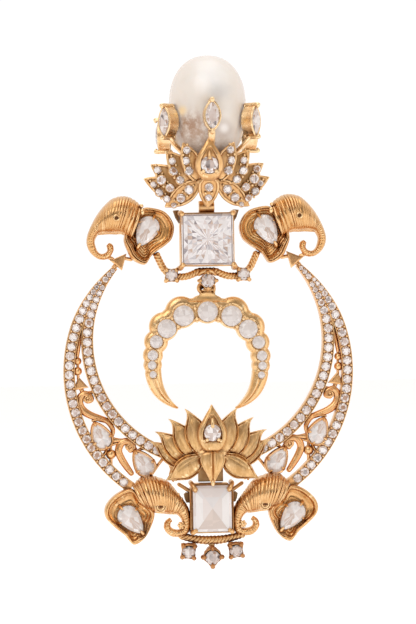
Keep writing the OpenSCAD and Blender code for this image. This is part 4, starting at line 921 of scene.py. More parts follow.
# ------------------------------------------------------------------ post, pearl, crown
LEAN = 0.40   # the pearl and its crown sit this far to the right of the middle line


def build_post():
    s = revolve([(0.02, -0.9), (1.0, -0.9), (1.95, -0.9), (2.12, -0.84), (2.25, -0.7), (2.3, -0.5), (2.3, -0.25), (2.22, -0.08),
                 (2.1, 0.0), (1.2, 0.0), (0.62, 0.0), (0.5, 0.06), (0.45, 0.2), (0.45, 9.2), (0.44, 9.35), (0.38, 9.45),
                 (0.38, 9.75), (0.44, 9.85), (0.45, 10.0), (0.45, 10.7), (0.4, 10.88), (0.28, 10.98), (0.02, 11.0)], 48)
    s.v = [np.stack([v[:, 0], v[:, 2], -v[:, 1]], 1) for v in s.v]
    to_object("ear_post_look", s, GOLD_SATIN, BODY, ["ear_post"], 50)


def pearl_w(z):
    t = min(abs(z - 11.05) / (8.45 if z > 11.05 else 9.4), 1)
    return 6.35 * (1 - t ** 2.25) ** (1 / 2.25)


def build_pearl():
    prof = []
    for i in range(61):
        a = -PI / 2 + i * PI / 60
        z = 11.05 + math.sin(a) * (8.45 if a > 0 else 9.4)
        prof.append((max(pearl_w(z), 0.01), z))
    s = revolve(prof, 96, (LEAN, PEARL_Y, 0))
    to_object("pearl_look", s, PEARL, BODY, ["pearl"])


def marquise_outline(g, n=32):
    q = (MQ_L ** 2 - MQ_W ** 2) / (2 * MQ_W)
    R = q + MQ_W + g
    top = math.sqrt(R * R - q * q)
    a = math.asin(top / R)
    P = []
    for i in range(n // 2):
        t = -a + 2 * a * i / (n // 2)
        P.append((R * math.cos(t) - q, R * math.sin(t)))
    for i in range(n // 2):
        t = -a + 2 * a * i / (n // 2)
        P.append((-R * math.cos(t) + q, -R * math.sin(t)))
    return np.array(P)


def marquise_move(turn, h, face, reach):
    """Stands at an angle round the pearl and at a distance from its middle, turned by an angle of its own."""
    t, g = math.radians(turn), math.radians(face)

    def move(v):
        x, y, z = v[:, 0], -v[:, 2], v[:, 1]
        return np.stack([LEAN + x * math.cos(g) - y * math.sin(g) + reach * math.sin(t), x * math.sin(g) + y * math.cos(g) - reach * math.cos(t) + PEARL_Y, z + h], 1)
    return move


def build_crown():
    s = Shape()
    s.merge(revolve([(0.02, -1.2), (1.2, -1.2), (2.1, -1.18), (2.7, -0.8), (3.2, -0.4), (3.8, 0.35), (4.3, 1.2), (4.65, 1.95), (4.88, 2.6),
                     (4.86, 2.74), (4.72, 2.78), (4.55, 2.66), (4.2, 2.0), (3.4, 1.3), (2.0, 0.7), (0.02, 0.5)], 72, (LEAN, PEARL_Y, 0)))
    for turn, h, face, reach in MARQUISE:
        mv = marquise_move(turn, h, face, reach)
        # stem: flat strip with rounded edges that follows the pearl
        top = h - MQ_L - 0.35
        zs = np.linspace(1.0, top, 12)
        rs = [max(4.40, pearl_w(z) + 0.42) if z < 2.2 else pearl_w(z) + 0.42 for z in zs]
        k = np.clip((zs - (top - 2.4)) / 2.4, 0, 1) ** 1.6
        rs = np.array(rs) * (1 - k) + (REACH - 1.2) * k
        P = np.stack([np.zeros(12), zs, -(REACH - rs)], 1)
        P[:, 1] -= h
        st = tube(P, np.full(12, 0.30), np.full(12, 0.56), n=14, power=0.7, up=(1, 0, 0))
        s.merge(st, mv)
        # wall of the setting, open through the middle
        O, I = marquise_outline(0.30), marquise_outline(-0.02)
        rings = [(I, -2.0), (O, -2.0), (marquise_outline(0.27), -1.0), (marquise_outline(0.26), -0.45), (O, -0.20), (O, -0.05),
                 (marquise_outline(0.24), 0.02), (marquise_outline(0.10), 0.04), (I, -0.02), (marquise_outline(-0.05), -0.6), (marquise_outline(-0.32), -1.2)]
        G = np.array([np.c_[R, np.full(len(R), z)] for R, z in rings])
        s.merge(Shape().grid(G, wrap_u=True, wrap_v=True), mv)
        # long claws at both points
        for e in (-1, 1):
            y = e * (MQ_L + 0.36)
            P = np.array([[0, y, -2.05], [0, y, -1.0], [0, y, 0.0], [0, y - e * 0.05, 0.42]])
            s.merge(tube(P, [0.33, 0.34, 0.35, 0.36], n=14, power=0.85, up=(0, 1, 0)), mv)
            s.merge(sphere((0, y - e * 0.20, 0.40), 0.34, 8, 12, (1.0, 1.15, 0.8)), mv)
            # bar across the back of the claw
            s.merge(tube(np.array([[-0.35, y - e * 0.25, -1.95], [0, y - e * 0.02, -1.98], [0.35, y - e * 0.25, -1.95]]), 0.22, n=10), mv)
    # boss that carries the seat of the post
    b = revolve([(0.02, 0), (1.8, 0), (1.8, 3.4), (0.02, 3.4)], 40)
    b.v = [np.stack([v[:, 0], v[:, 2] - 4.4, -v[:, 1]], 1) for v in b.v]
    s.merge(b)
    to_object("crown_look", s, GOLD_CROWN_LIT, BODY, ["crown"], 42)
    for k, (turn, h, face, reach) in enumerate(MARQUISE):
        g = outline_gem(marquise_outline(-0.03, 12), 0.42, 1.1, table=0.56, mid=0.80)
        st = Shape().merge(g, lambda v: v + np.array([0, 0, -0.04])).merge(Shape())
        st2 = Shape().merge(st, marquise_move(turn, h, face, reach))
        to_object("marquise_stone_%d_look" % (k + 1), st2, CLEAR, BODY, ["marquise_stone_%d" % (k + 1)])


# ------------------------------------------------------------------ petals
FORM_U = np.array([0.0, 0.16, 0.42, 0.68, 0.87, 1.0])
FORM_W = np.array([0.35, 0.75, 1.00, 0.80, 0.40, 0.03])


def form(u, table=None):
    U, W = (FORM_U, FORM_W) if table is None else (np.array(table)[:, 0], np.array(table)[:, 1])
    P = smooth_line(np.stack([U, W], 1), 8)
    return np.interp(u, P[:, 0], P[:, 1])


def leaf(R, thick, relief, nu=44, nv=25, widths=None, hook=None, tip_curl=0.0, back=0.5, power=3, bow=0.0):
    """Petal as a closed wall; relief(u, v, w) gives its front height in mm above the petal's edge. Also returns the front points."""
    b, t = np.array(R[:2]), np.array(R[2:4])
    L = np.linalg.norm(t - b)
    d = unit(t - b)
    sd = np.array([d[1], -d[0]])
    hk = R[7] if hook is None else hook
    us = np.linspace(0, 1, nu)
    vs = np.linspace(-1, 1, nv)
    rows, front = [], []
    for u in us:
        w = max(R[4] * form(u, widths), 0.02)
        c = b + (t - b) * u + sd * (hk * (u ** power) - bow * math.sin(PI * u)) * (0 if R[0] == 0 else 1)
        f0 = R[5] + (R[6] - R[5]) * u - 0.36 * (2 * abs(u - 0.5)) ** 2 + tip_curl * max(u - 0.75, 0) ** 2 * 16
        k = max(form(u, widths), 0.25)
        fr = [at(*(c + sd * w * v), f0 + relief(u, v, w) * min(k * 1.3, 1)) for v in vs]
        bk = [at(*(c + sd * w * v * 0.97), f0 - thick * back * k * (1 - v * v) ** 0.5 - 0.05) for v in vs[::-1][1:-1]]
        rows.append(fr + bk)
        front.append(fr)
    s = Shape().grid(np.array(rows), wrap_v=True, cap0=True, cap1=True)
    return s, np.array(front)


def surface_at(front, x, z):
    """Depth and lean of a petal's front at a place in the front view."""
    d = (front[:, :, 0] - x) ** 2 + (front[:, :, 2] - z) ** 2
    i, j = np.unravel_index(np.argmin(d), d.shape)
    i = min(max(i, 1), front.shape[0] - 2)
    j = min(max(j, 1), front.shape[1] - 2)
    a = front[i + 1, j] - front[i - 1, j]
    b = front[i, j + 1] - front[i, j - 1]
    n = unit(np.cross(a, b))
    if n[1] > 0:
        n = -n
    return PLANE - front[i, j, 1], (n[0] / -n[1], n[2] / -n[1])


PAVED = {1: [(3.55, 3.71, 0.66), (3.73, 1.96, 0.70), (3.23, 0.34, 0.76)],
         2: [(5.87, 2.01, 0.62), (5.70, 0.39, 0.78), (4.63, -1.08, 0.72)],
         3: [(8.16, 0.66, 0.66), (7.62, -0.99, 0.80), (6.25, -2.29, 0.74)],
         4: [(8.80, -1.65, 0.56), (7.86, -2.92, 0.72), (6.71, -4.04, 0.62)],
         5: [(0.00, -2.35, 0.74), (0.00, -3.95, 0.62)],
         6: [(3.15, -2.65, 0.80), (4.45, -3.95, 0.78), (5.55, -5.02, 0.50)]}


def build_upper_lotus():
    s, pv = Shape(), Shape()

    def rim_relief(u, v, w):
        a = abs(v)
        e = (1 - a) * w                       # distance from the edge
        r = 0.42 * math.sqrt(max(1 - ((e - 0.26) / 0.26) ** 2, 0)) if e < 0.52 else 0.0
        bed = 0.10 + 0.03 * math.sin(7 * u)
        return max(r, bed if e > 0.2 else 0.0)

    def middle_relief(u, v, w):
        e = (1 - abs(v)) * w
        eb = u * 7.1
        et = (1 - u) * 7.1
        if u < 0.17:
            return 0.72 * math.sqrt(max(1 - ((min(e, eb * 1.1, 0.62) - 0.62) / 0.62) ** 2, 0))
        e = min(e, (u - 0.17) * 7.1 + 0.85, et * 0.55)
        if e < 0.85:
            return 0.72 * math.sqrt(max(1 - ((e - 0.62) / 0.62) ** 2, 0)) if e < 0.62 else 0.72
        if e < 1.0:
            return 0.72 - 0.42 * (e - 0.85) / 0.15
        return 0.30
    wide = [(0.0, 0.30), (0.05, 0.58), (0.14, 0.82), (0.30, 1.0), (0.46, 0.97), (0.62, 0.74), (0.78, 0.44), (0.90, 0.20), (1.0, 0.04)]
    c, front = leaf((0.0, -1.30, 0.0, 5.80, 2.32, 7.5, 8.75, 0.0), 1.2, middle_relief, 70, 45, wide)
    s.merge(c)
    for i in (1, 2, 3, 4, 5, 6):
        R = UPPER_PETALS[i]
        if i == 5:
            R = (0.0, -1.15, 0.0, -5.62, 1.72, 7.2, 4.0, 0.0)
        if i == 6:
            R = (1.75, -1.55, 6.75, -5.55, 1.66, 6.0, 3.0, -0.3)
        wt = [(0.0, 0.45), (0.14, 0.78), (0.36, 1.0), (0.60, 0.92), (0.78, 0.62), (0.90, 0.34), (1.0, 0.05)]
        if i == 5:
            wt = [(0.0, 0.72), (0.14, 0.98), (0.36, 1.0), (0.60, 0.80), (0.78, 0.52), (0.90, 0.28), (1.0, 0.05)]
        q, fr = leaf(R, 0.9, rim_relief, 50, 27, wt, tip_curl=0.25 if i in (3, 4) else 0.1)
        for mir in ((False,) if i == 5 else (False, True)):
            s.merge(q, mirror=mir)
        for n, (x, z, r) in enumerate(PAVED[i]):
            f, tilt = surface_at(fr, x, z)
            tilt = (max(min(tilt[0], 0.5), -0.5) * 0.7, max(min(tilt[1], 0.5), -0.5) * 0.7)
            g = round_gem(r * 0.92)
            cup = revolve([(r * 0.9, -0.25), (r * 1.06, -0.25), (r * 1.08, -0.02), (r * 1.02, 0.04), (r * 0.96, 0.02)], 20)
            for mir in ((False,) if i == 5 else (False, True)):
                pv.merge(Shape().merge(g, place_front(x, z, f + 0.20, tilt)), mirror=mir)
                s.merge(Shape().merge(cup, place_front(x, z, f + 0.16, tilt)), mirror=mir)
        # grains between the stones
        pts = PAVED[i]
        for n in range(len(pts) - 1):
            a, b = np.array(pts[n][:2]), np.array(pts[n + 1][:2])
            m = a + (b - a) * (pts[n][2] / (pts[n][2] + pts[n + 1][2]))
            d = unit(b - a)
            sv = np.array([-d[1], d[0]])
            for e in (-1, 1):
                p = m + sv * e * 0.52
                f, _ = surface_at(fr, p[0], p[1])
                bd = sphere(at(p[0], p[1], f + 0.26), 0.23, 8, 10, (1, 1.2, 1))
                for mir in ((False,) if i == 5 else (False, True)):
                    s.merge(bd, mirror=mir)
        if i != 5:
            a = np.array(pts[0][:2])
            d = unit(a - np.array(pts[1][:2]))
            p = a + d * (pts[0][2] + 0.22)
            f, _ = surface_at(fr, p[0], p[1])
            for mir in (False, True):
                s.merge(sphere(at(p[0], p[1], f + 0.18), 0.22, 8, 10), mirror=mir)
    # heart behind the petals
    s.merge(sphere(at(0, -1.3, 5.2), 1.9, 16, 24, (1.2, 0.55, 0.60)))
    s.merge(tube(np.array([at(-6.2, -2.0, 2.6), at(-3.6, -2.2, 3.3), at(0, -2.0, 3.6), at(3.6, -2.2, 3.3), at(6.2, -2.0, 2.6)]),
                 [0.5, 0.7, 0.9, 0.7, 0.5], [0.5, 0.7, 0.8, 0.7, 0.5], n=16))
    # ring and claws of the middle stone
    f0 = 8.30
    ringp = [(1.50, -0.40), (1.62, -0.40), (1.64, -0.05), (1.56, 0.04), (1.46, 0.0), (1.42, -0.2)]
    s.merge(revolve(ringp, 40), place_front(0, 1.24, f0))
    s.merge(tube(np.array([at(0, 3.55, f0 - 0.02), at(0, 3.05, f0 + 0.28), at(0, 2.60, f0 + 0.50), at(0, 2.28, f0 + 0.55)]),
                 [0.26, 0.30, 0.32, 0.30], [0.3, 0.3, 0.26, 0.22], n=12))
    for e in (-1, 1):
        s.merge(prong(e * 1.05, 0.16, 0.30, f0 + 0.62, f0 - 0.4))
        s.merge(sphere(at(e * 1.32, 0.02, f0 + 0.1), 0.26, 8, 12))
    to_object("upper_lotus_look", s, GOLD_LOTUS, BODY, ["upper_lotus"], 40)
    to_object("upper_lotus_paving", pv, PAVE, BODY, ())
    g = Shape().merge(round_gem(1.42, 0.55, 0.36), place_front(0, 1.24, f0 + 0.14))
    to_object("upper_lotus_stone_look", g, PAVE, BODY, ["upper_lotus_stone"])


def build_lower_lotus():
    s = Shape()

    def satin(u, v, w):
        a = abs(v)
        e = (1 - a) * w
        dome = 0.36 * (1 - a ** 2.6) ** 0.8
        lip = 0.22 * math.exp(-((e - 0.12) / 0.09) ** 2) - 0.12 * math.exp(-((e - 0.32) / 0.08) ** 2) + 0.08 * math.exp(-((e - 0.50) / 0.09) ** 2)
        crease = -0.10 * math.exp(-((v - 0.30) / 0.12) ** 2) * max(0, 1 - u * 1.2)
        return dome * (0.75 + 0.25 * math.sin(PI * min(u * 1.1, 1))) + lip * min(1, w / 0.6) + crease

    def drooping(u, v, w):
        a = abs(v)
        e = (1 - a) * w
        return 0.46 * (1 - a ** 2.4) ** 0.8 + min(1, w / 0.5) * (0.20 * math.exp(-((e - 0.12) / 0.09) ** 2) - 0.13 * math.exp(-((e - 0.32) / 0.08) ** 2) + 0.07 * math.exp(-((e - 0.50) / 0.09) ** 2)) - 0.10 * math.exp(-((v + 0.30) / 0.09) ** 2) * max(0, 0.9 - u)

    def middle(u, v, w):
        e = (1 - abs(v)) * w
        if u < 0.12:
            return 0.66 * math.sqrt(max(1 - ((min(e, u * 8.2, 0.60) - 0.60) / 0.60) ** 2, 0))
        e = min(e, (u - 0.12) * 2.6 + 0.60, (1 - u) * 7.5 * 0.55)
        if e < 0.80:
            return 0.66 * math.sqrt(max(1 - ((e - 0.60) / 0.60) ** 2, 0)) if e < 0.60 else 0.66
        if e < 0.95:
            return 0.66 - 0.36 * (e - 0.80) / 0.15
        return 0.30

    def tongue(u, v, w):
        a = abs(v)
        e = (1 - a) * w
        ridges = 0.20 * math.exp(-((a - 0.10) / 0.055) ** 2) + 0.04 * math.exp(-((a - 0.34) / 0.05) ** 2)
        return 0.40 * (1 - a ** 2.5) ** 0.8 + ridges + 0.13 * math.exp(-((e - 0.12) / 0.1) ** 2)
    wide = [(0.0, 0.32), (0.05, 0.60), (0.14, 0.84), (0.30, 1.0), (0.46, 0.97), (0.62, 0.75), (0.78, 0.46), (0.90, 0.21), (1.0, 0.03)]
    s.merge(leaf((0.0, -45.42, 0.0, -37.72, 2.36, 5.05, 4.75, 0.0), 1.2, middle, 70, 45, wide)[0])
    up = [(0.0, 0.42), (0.14, 0.80), (0.32, 1.03), (0.50, 1.02), (0.64, 0.82), (0.76, 0.52), (0.86, 0.28), (0.94, 0.13), (1.0, 0.03)]
    tips = {1: (4.32, -38.36, 1.05), 2: (7.0, -39.98, 1.05), 3: (9.2, -42.05, 0.95), 4: (9.95, -43.75, 0.7)}
    for i in (1, 2, 3, 4):
        R = list(LOWER_PETALS[i])
        tx, tz, hk = tips[i]
        b = np.array(R[:2])
        t = np.array([tx, tz])
        for _ in range(6):
            d = unit(t - b)
            t = np.array([tx, tz]) - np.array([d[1], -d[0]]) * hk
        R[2], R[3] = t
        q, _ = leaf(R, 1.0, satin, 72, 31, up, tip_curl=0.35, hook=hk, power=6)
        s.merge(q)
        s.merge(q, mirror=True)
    tg = [(0.0, 0.50), (0.10, 0.90), (0.26, 1.02), (0.50, 0.78), (0.70, 0.48), (0.86, 0.24), (1.0, 0.06)]
    s.merge(leaf((0.0, -45.35, 0.0, -50.95, 2.0, 5.0, 4.4, 0.0), 1.0, tongue, 60, 41, tg)[0])
    s.merge(sphere(at(0, -50.55, 4.5), 0.34, 10, 12, (1, 1, 1.5)))
    dr = [(0.0, 0.30), (0.12, 0.66), (0.32, 0.98), (0.54, 0.98), (0.72, 0.66), (0.87, 0.30), (1.0, 0.03)]
    q, _ = leaf(LOWER_PETALS[6], 1.0, drooping, 60, 29, dr, tip_curl=0.35)
    s.merge(q)
    s.merge(q, mirror=True)
    # folded little petals underneath, next to the drooping ones
    q, _ = leaf((4.4, -48.2, 5.9, -50.0, 0.75, 2.0, 1.4, 0.0), 0.6, drooping, 24, 15)
    s.merge(q)
    s.merge(q, mirror=True)
    s.merge(sphere(at(0, -46.0, 3.2), 2.2, 14, 24, (1.3, 0.5, 0.7)))
    s.merge(tube(np.array([at(-7.0, -45.6, 1.9), at(-4.0, -46.6, 2.2), at(0, -46.4, 2.6), at(4.0, -46.6, 2.2), at(7.0, -45.6, 1.9)]),
                 [0.5, 0.9, 1.1, 0.9, 0.5], [0.5, 0.7, 0.8, 0.7, 0.5], n=16))
    f0 = 5.28
    s.merge(revolve([(1.46, -0.4), (1.58, -0.4), (1.60, -0.05), (1.52, 0.04), (1.42, 0.0), (1.38, -0.2)], 40), place_front(0, -42.3, f0))
    s.merge(tube(np.array([at(0, -40.15, f0 + 0.25), at(0, -40.55, f0 + 0.48), at(0, -41.0, f0 + 0.60), at(0, -41.32, f0 + 0.58)]),
                 [0.26, 0.30, 0.32, 0.28], [0.3, 0.3, 0.26, 0.22], n=12))
    for e in (-1, 1):
        s.merge(prong(e * 0.95, -43.45, 0.30, f0 + 0.62, f0 - 0.3))
        s.merge(sphere(at(e * 1.34, -43.62, f0 + 0.12), 0.28, 8, 12))
    to_object("lower_lotus_look", s, GOLD_SATIN, BODY, ["lower_lotus"], 40)
    g = Shape().merge(round_gem(1.38, 0.55, 0.36), place_front(0, -42.3, f0 + 0.14))
    to_object("lower_lotus_stone_look", g, PAVE, BODY, ["lower_lotus_stone"])


# ------------------------------------------------------------------ square stone
def rect(x0, z0, x1, z1, n=6):
    P = []
    C = [(x0, z0), (x1, z0), (x1, z1), (x0, z1)]
    for i in range(4):
        a, b = np.array(C[i]), np.array(C[(i + 1) % 4])
        for k in range(n):
            P.append(a + (b - a) * k / n)
    return np.array(P)


def build_square():
    s = Shape()
    h = SQ_W / 2
    o = h + 0.36
    s.merge(slab(rect(-o, SQ_Z - o, o, SQ_Z + o), -1.0, 2.55, 0.12, rect(-h - 0.05, SQ_Z - h - 0.05, h + 0.05, SQ_Z + h + 0.05)))
    s.merge(slab(rect(-h - 0.1, SQ_Z - h - 0.1, h + 0.1, SQ_Z + h + 0.1), -0.9, 0.9, 0.1, rect(-h + 0.9, SQ_Z - h + 0.9, h - 0.9, SQ_Z + h - 0.9)))
    for sx in (-1, 1):
        for sz in (-1, 1):
            x, z = sx * (h + 0.30), SQ_Z + sz * (h + 0.30)
            low = 0.30 if sz < 0 else 0.0
            P = np.array([at(x + sx * low * 0.5, z - low, -0.5), at(x + sx * low * 0.5, z - low, 1.6), at(x + sx * low * 0.3, z - low * 0.6, 2.7), at(x - sx * 0.08, z - sz * 0.08, 3.35)])
            s.merge(tube(smooth_line(P, 4), np.interp(np.linspace(0, 1, 13), [0, 0.6, 1], [0.44, 0.46, 0.34]), n=14, up=(1, 0, 0)))
            s.merge(sphere(at(x - sx * 0.16, z - sz * 0.16, 3.32), 0.42, 10, 14, (1, 0.8, 1)))
    # neck up to the lotus, a bent plate
    G = []
    for k in range(9):
        z = SQ_Z + o - 0.1 + 2.0 * k / 8
        f = 1.6 + 0.5 * math.sin(PI * k / 8)
        G.append([at(-1.25, z, f - 1.4), at(-1.25, z, f), at(-1.1, z, f + 0.12), at(0, z, f + 0.16), at(1.1, z, f + 0.12), at(1.25, z, f), at(1.25, z, f - 1.4)])
    s.merge(Shape().grid(np.array(G), wrap_v=True, cap0=True, cap1=True))
    to_object("square_setting_look", s, GOLD, BODY, ["square_setting"], 40)
    d = Shape()
    for m in (False, True):
        q = slab(np.array([(4.50, -5.72), (5.45, -5.80), (5.25, -6.4), (5.05, -7.0), (4.50, -7.9), (4.50, -6.8)]), -0.7, 0.5, 0.06)
        d.merge(q, mirror=m)
    to_object("square_setting_links", d, GOLD_SHADE, BODY, ())
    st = Shape().merge(princess(SQ_W / 2 + 0.20, SQ_W / 2 + 0.14, 0.62), place_front(-0.08, SQ_Z - 0.05, 2.80))
    to_object("square_stone_look", st, SPARK, BODY, ["square_stone"])


# ------------------------------------------------------------------ elephants
def head(H, ribs, flip=1.0, top_amp=0.145, trunk_amp=0.085, eye=None, pitch=0.60, quiet=None):
    """Head and trunk, ribbed across from its outer edge to its jaw."""
    L = smooth_line(H, 14)
    d = np.r_[0, np.cumsum(np.linalg.norm(np.diff(L[:, :2], axis=0), axis=1))]
    n = int(d[-1] / 0.065)
    t = np.linspace(0, d[-1], n)
    idx = np.interp(t, d, np.arange(len(L)) / 14.0)
    R = np.stack([np.interp(t, d, L[:, k]) for k in range(6)], 1)
    m = 34
    a = np.linspace(0, 2 * PI, m, endpoint=False)
    ca, sa = np.cos(a), np.sin(a)
    G = np.zeros((n, m, 3))
    for i in range(n):
        ox, oz, ix, iz, fr, bk = R[i]
        c = np.array([(ox + ix) / 2, (oz + iz) / 2])
        h = np.array([(ox - ix) / 2, (oz - iz) / 2])
        hl = np.linalg.norm(h)
        wave = 0.18 * math.sin(t[i] * 1.9) + 0.10 * math.sin(t[i] * 4.3 + 1.0)
        trunk = np.clip((idx[i] - 4.6) / 1.8, 0, 1)
        ptc = pitch * (1 - 0.12 * trunk)
        ph = (t[i] / ptc + wave)
        rib = abs(math.sin(PI * ph)) ** 0.62
        near = math.exp(-(max(t[i] - 0.4, 0) / 3.4) ** 2)
        amp = (top_amp * (0.62 + 0.95 * near)) * (1 - trunk) + trunk_amp * trunk
        edge = min(1.0, t[i] / 0.5, (t[-1] - t[i]) / 0.3)
        size = 0.72 + 0.28 * min(1.0, t[i] / 0.55) ** 0.5
        for j in range(m):
            f_front = np.sign(sa[j]) * abs(sa[j]) ** 0.86
            f = 0.6 + (f_front * fr * size if sa[j] > 0 else f_front * bk)
            k = ca[j] * (1.0 if idx[i] > 5 else 1.0)
            calm = 1.0
            if eye is not None:
                p = c + h * k
                q = math.hypot(p[0] - eye[0], p[1] - eye[1])
                calm = min(1.0, max(q - 0.55, 0) / 0.55)
            fade = 0.62 + 0.38 * (0.5 + 0.5 * k) if idx[i] < 5 else 1.0
            lift = amp * rib * edge * fade * calm
            f += lift * max(sa[j], 0) ** 0.5 if sa[j] > 0 else 0
            out = 1 + (lift * 0.55 / max(hl, 0.3)) * (k > 0) * abs(k)
            p = c + h * k * out
            G[i, j] = at(p[0], p[1], f)
    s = Shape().grid(G, wrap_v=True, cap0=True, cap1=True)
    # jaw: rolled lip along the inner edge of the head
    J = R[(idx > 0.9) & (idx < 5.6)][::6]
    P = np.array([at(r[2] + (r[0] - r[2]) * 0.03, r[3] + (r[1] - r[3]) * 0.03, 0.9 + 0.14 * r[4]) for r in J])
    w = np.interp(np.linspace(0, 1, len(P)), [0, 0.2, 0.7, 1], [0.20, 0.30, 0.27, 0.14])
    s.merge(tube(P, w, w * 1.3, n=12))
    # rolled fold where the head meets the ear
    J = R[idx < 0.9]
    r0 = J[0]
    for e, wd in ((0.10, 0.34), (0.55, 0.26)):
        P = []
        for k in np.linspace(0.02, 0.92, 14):
            r = R[int(np.argmin(abs(idx - e)))]
            bow = math.sin(PI * k)
            P.append(at(r[0] + (r[2] - r[0]) * k, r[1] + (r[3] - r[1]) * k, 1.0 + r[4] * 0.86 * bow ** 0.7))
        s.merge(tube(np.array(P), np.interp(np.linspace(0, 1, 14), [0, 0.5, 1], [wd * 0.8, wd, wd * 0.5]), n=12))
    return s


def head_front(H, x, z):
    """Front depth of a head at a place in the front view."""
    L = smooth_line(H, 10)
    best = None
    for r in L:
        o, i = r[:2], r[2:4]
        c, h = (o + i) / 2, (o - i) / 2
        k = float(np.dot(np.array([x, z]) - c, h) / max(np.dot(h, h), 1e-6))
        p = c + h * np.clip(k, -1, 1)
        q = math.hypot(p[0] - x, p[1] - z)
        if best is None or q < best[0]:
            best = (q, 0.6 + r[4] * max(1 - min(abs(k), 1) ** 2, 0) ** 0.43)
    return best[1]


def build_ear(E, pear, flap, n_a=240, n_r=64, ridge_pitch=0.50, rim_w=0.66, deep=0.44):
    """Dished ear round its pear stone: narrow raised rim, ridges that follow the rim, thin wall round the stone."""
    s = Shape()
    O = smooth_loop(E, 14)
    c = np.array([(pear[0] + pear[2]) / 2, (pear[1] + pear[3]) / 2])
    a, ro = polar(O, c, n_a)
    _, ri = polar(pear_edge(pear, 0.10, 90), c, n_a)
    ri = np.minimum(ri, ro - 0.25)
    G = np.zeros((n_r + 6, n_a, 3))
    for j in range(n_a):
        d = np.array([math.cos(a[j]), math.sin(a[j])])
        span = ro[j] - ri[j]
        fl = 0.0
        low = 0.0
        for (dx, dz), wid in flap:
            low = max(low, float(np.dot(d, unit((dx, dz)))))
            g = max(np.dot(d, unit((dx, dz))), 0) ** 6
            fl = max(fl, g * wid)
        W = min(rim_w + fl, span * 0.62)
        for i in range(n_r):
            q = i / (n_r - 1)
            D = span * (1 - q)
            if D <= W:
                x = D / W
                f = 1.15 + 0.95 * math.sqrt(max(1 - (2 * x - 1) ** 2, 0)) ** 0.8
                if fl > 0.25:
                    f -= 0.22 * math.exp(-((x - 0.45) / 0.08) ** 2) + 0.16 * math.exp(-((x - 0.76) / 0.06) ** 2)
            else:
                y = D - W
                k = min(y / max(span - W, 0.3), 1)
                slope = 0.55 * math.exp(-y / 0.55)
                f = deep + 0.20 * k + slope + (0.05 + 0.11 * low) * abs(math.sin(PI * (y + 0.1) / ridge_pitch)) ** 0.75
            p = c + d * (ri[j] + span * q)
            G[i + 1, j] = at(p[0], p[1], f)
        G[0, j] = at(*(c + d * ri[j] * 0.03), 0.95)
        for k, (g, f) in enumerate(((0.0, 0.55), (-0.02, -0.2), (-0.14, -0.62), (-0.5, -0.82), (-9, -0.62))):
            r = max(ro[j] + g, 0.05)
            p = c + d * r
            G[n_r + 1 + k, j] = at(p[0], p[1], f)
    s.grid(G, wrap_v=True, cap0=True, cap1=True)
    # thin wall and claws of the stone
    rings = [(pear_edge(pear, 0.03, 44), 0.8), (pear_edge(pear, 0.16, 44), 0.8), (pear_edge(pear, 0.15, 44), 1.38), (pear_edge(pear, 0.09, 44), 1.46), (pear_edge(pear, 0.02, 44), 1.40)]
    s.grid(np.array([[at(p[0], p[1], f) for p in R] for R, f in rings]), wrap_v=True, wrap_u=True)
    tip, end = np.array(pear[:2]), np.array(pear[2:4])
    d = unit(tip - end)
    w = np.array([-d[1], d[0]])
    m = end + d * pear[4]
    s.merge(tube(np.array([at(*(tip + d * 0.55), 1.1), at(*(tip + d * 0.25), 1.75), at(*(tip - d * 0.25), 2.12)]), [0.34, 0.36, 0.24], n=12, up=(1, 0, 0)))
    s.merge(tube(np.array([at(*(end - d * 0.40), 1.1), at(*(end - d * 0.12), 1.6), at(*(end + d * 0.25), 1.95)]), [0.22, 0.25, 0.16], n=12, up=(1, 0, 0)))
    for e in (-1, 1):
        q = m + w * e * (pear[4] + 0.10)
        s.merge(tube(np.array([at(*(q + w * e * 0.12), 1.0), at(*q, 1.5), at(*(q - w * e * 0.26), 1.85)]), [0.22, 0.24, 0.15], n=12, up=(1, 0, 0)))
    return s


def eye_ring(x, z, f, r=0.50, w=0.17):
    a = np.linspace(0, 2 * PI, 24, endpoint=False)
    P = np.array([at(x + r * math.cos(t), z + r * math.sin(t), f) for t in a])
    P = np.vstack([P, P[:1]])
    return tube(P, w, n=10, ends=False)


def pear_stone(R, f, crown=0.62, pav=0.9, n=18):
    g = fan_pear(R, crown, pav)
    return Shape().merge(g, lambda v: np.stack([v[:, 0], PLANE - f - v[:, 2], v[:, 1]], 1))


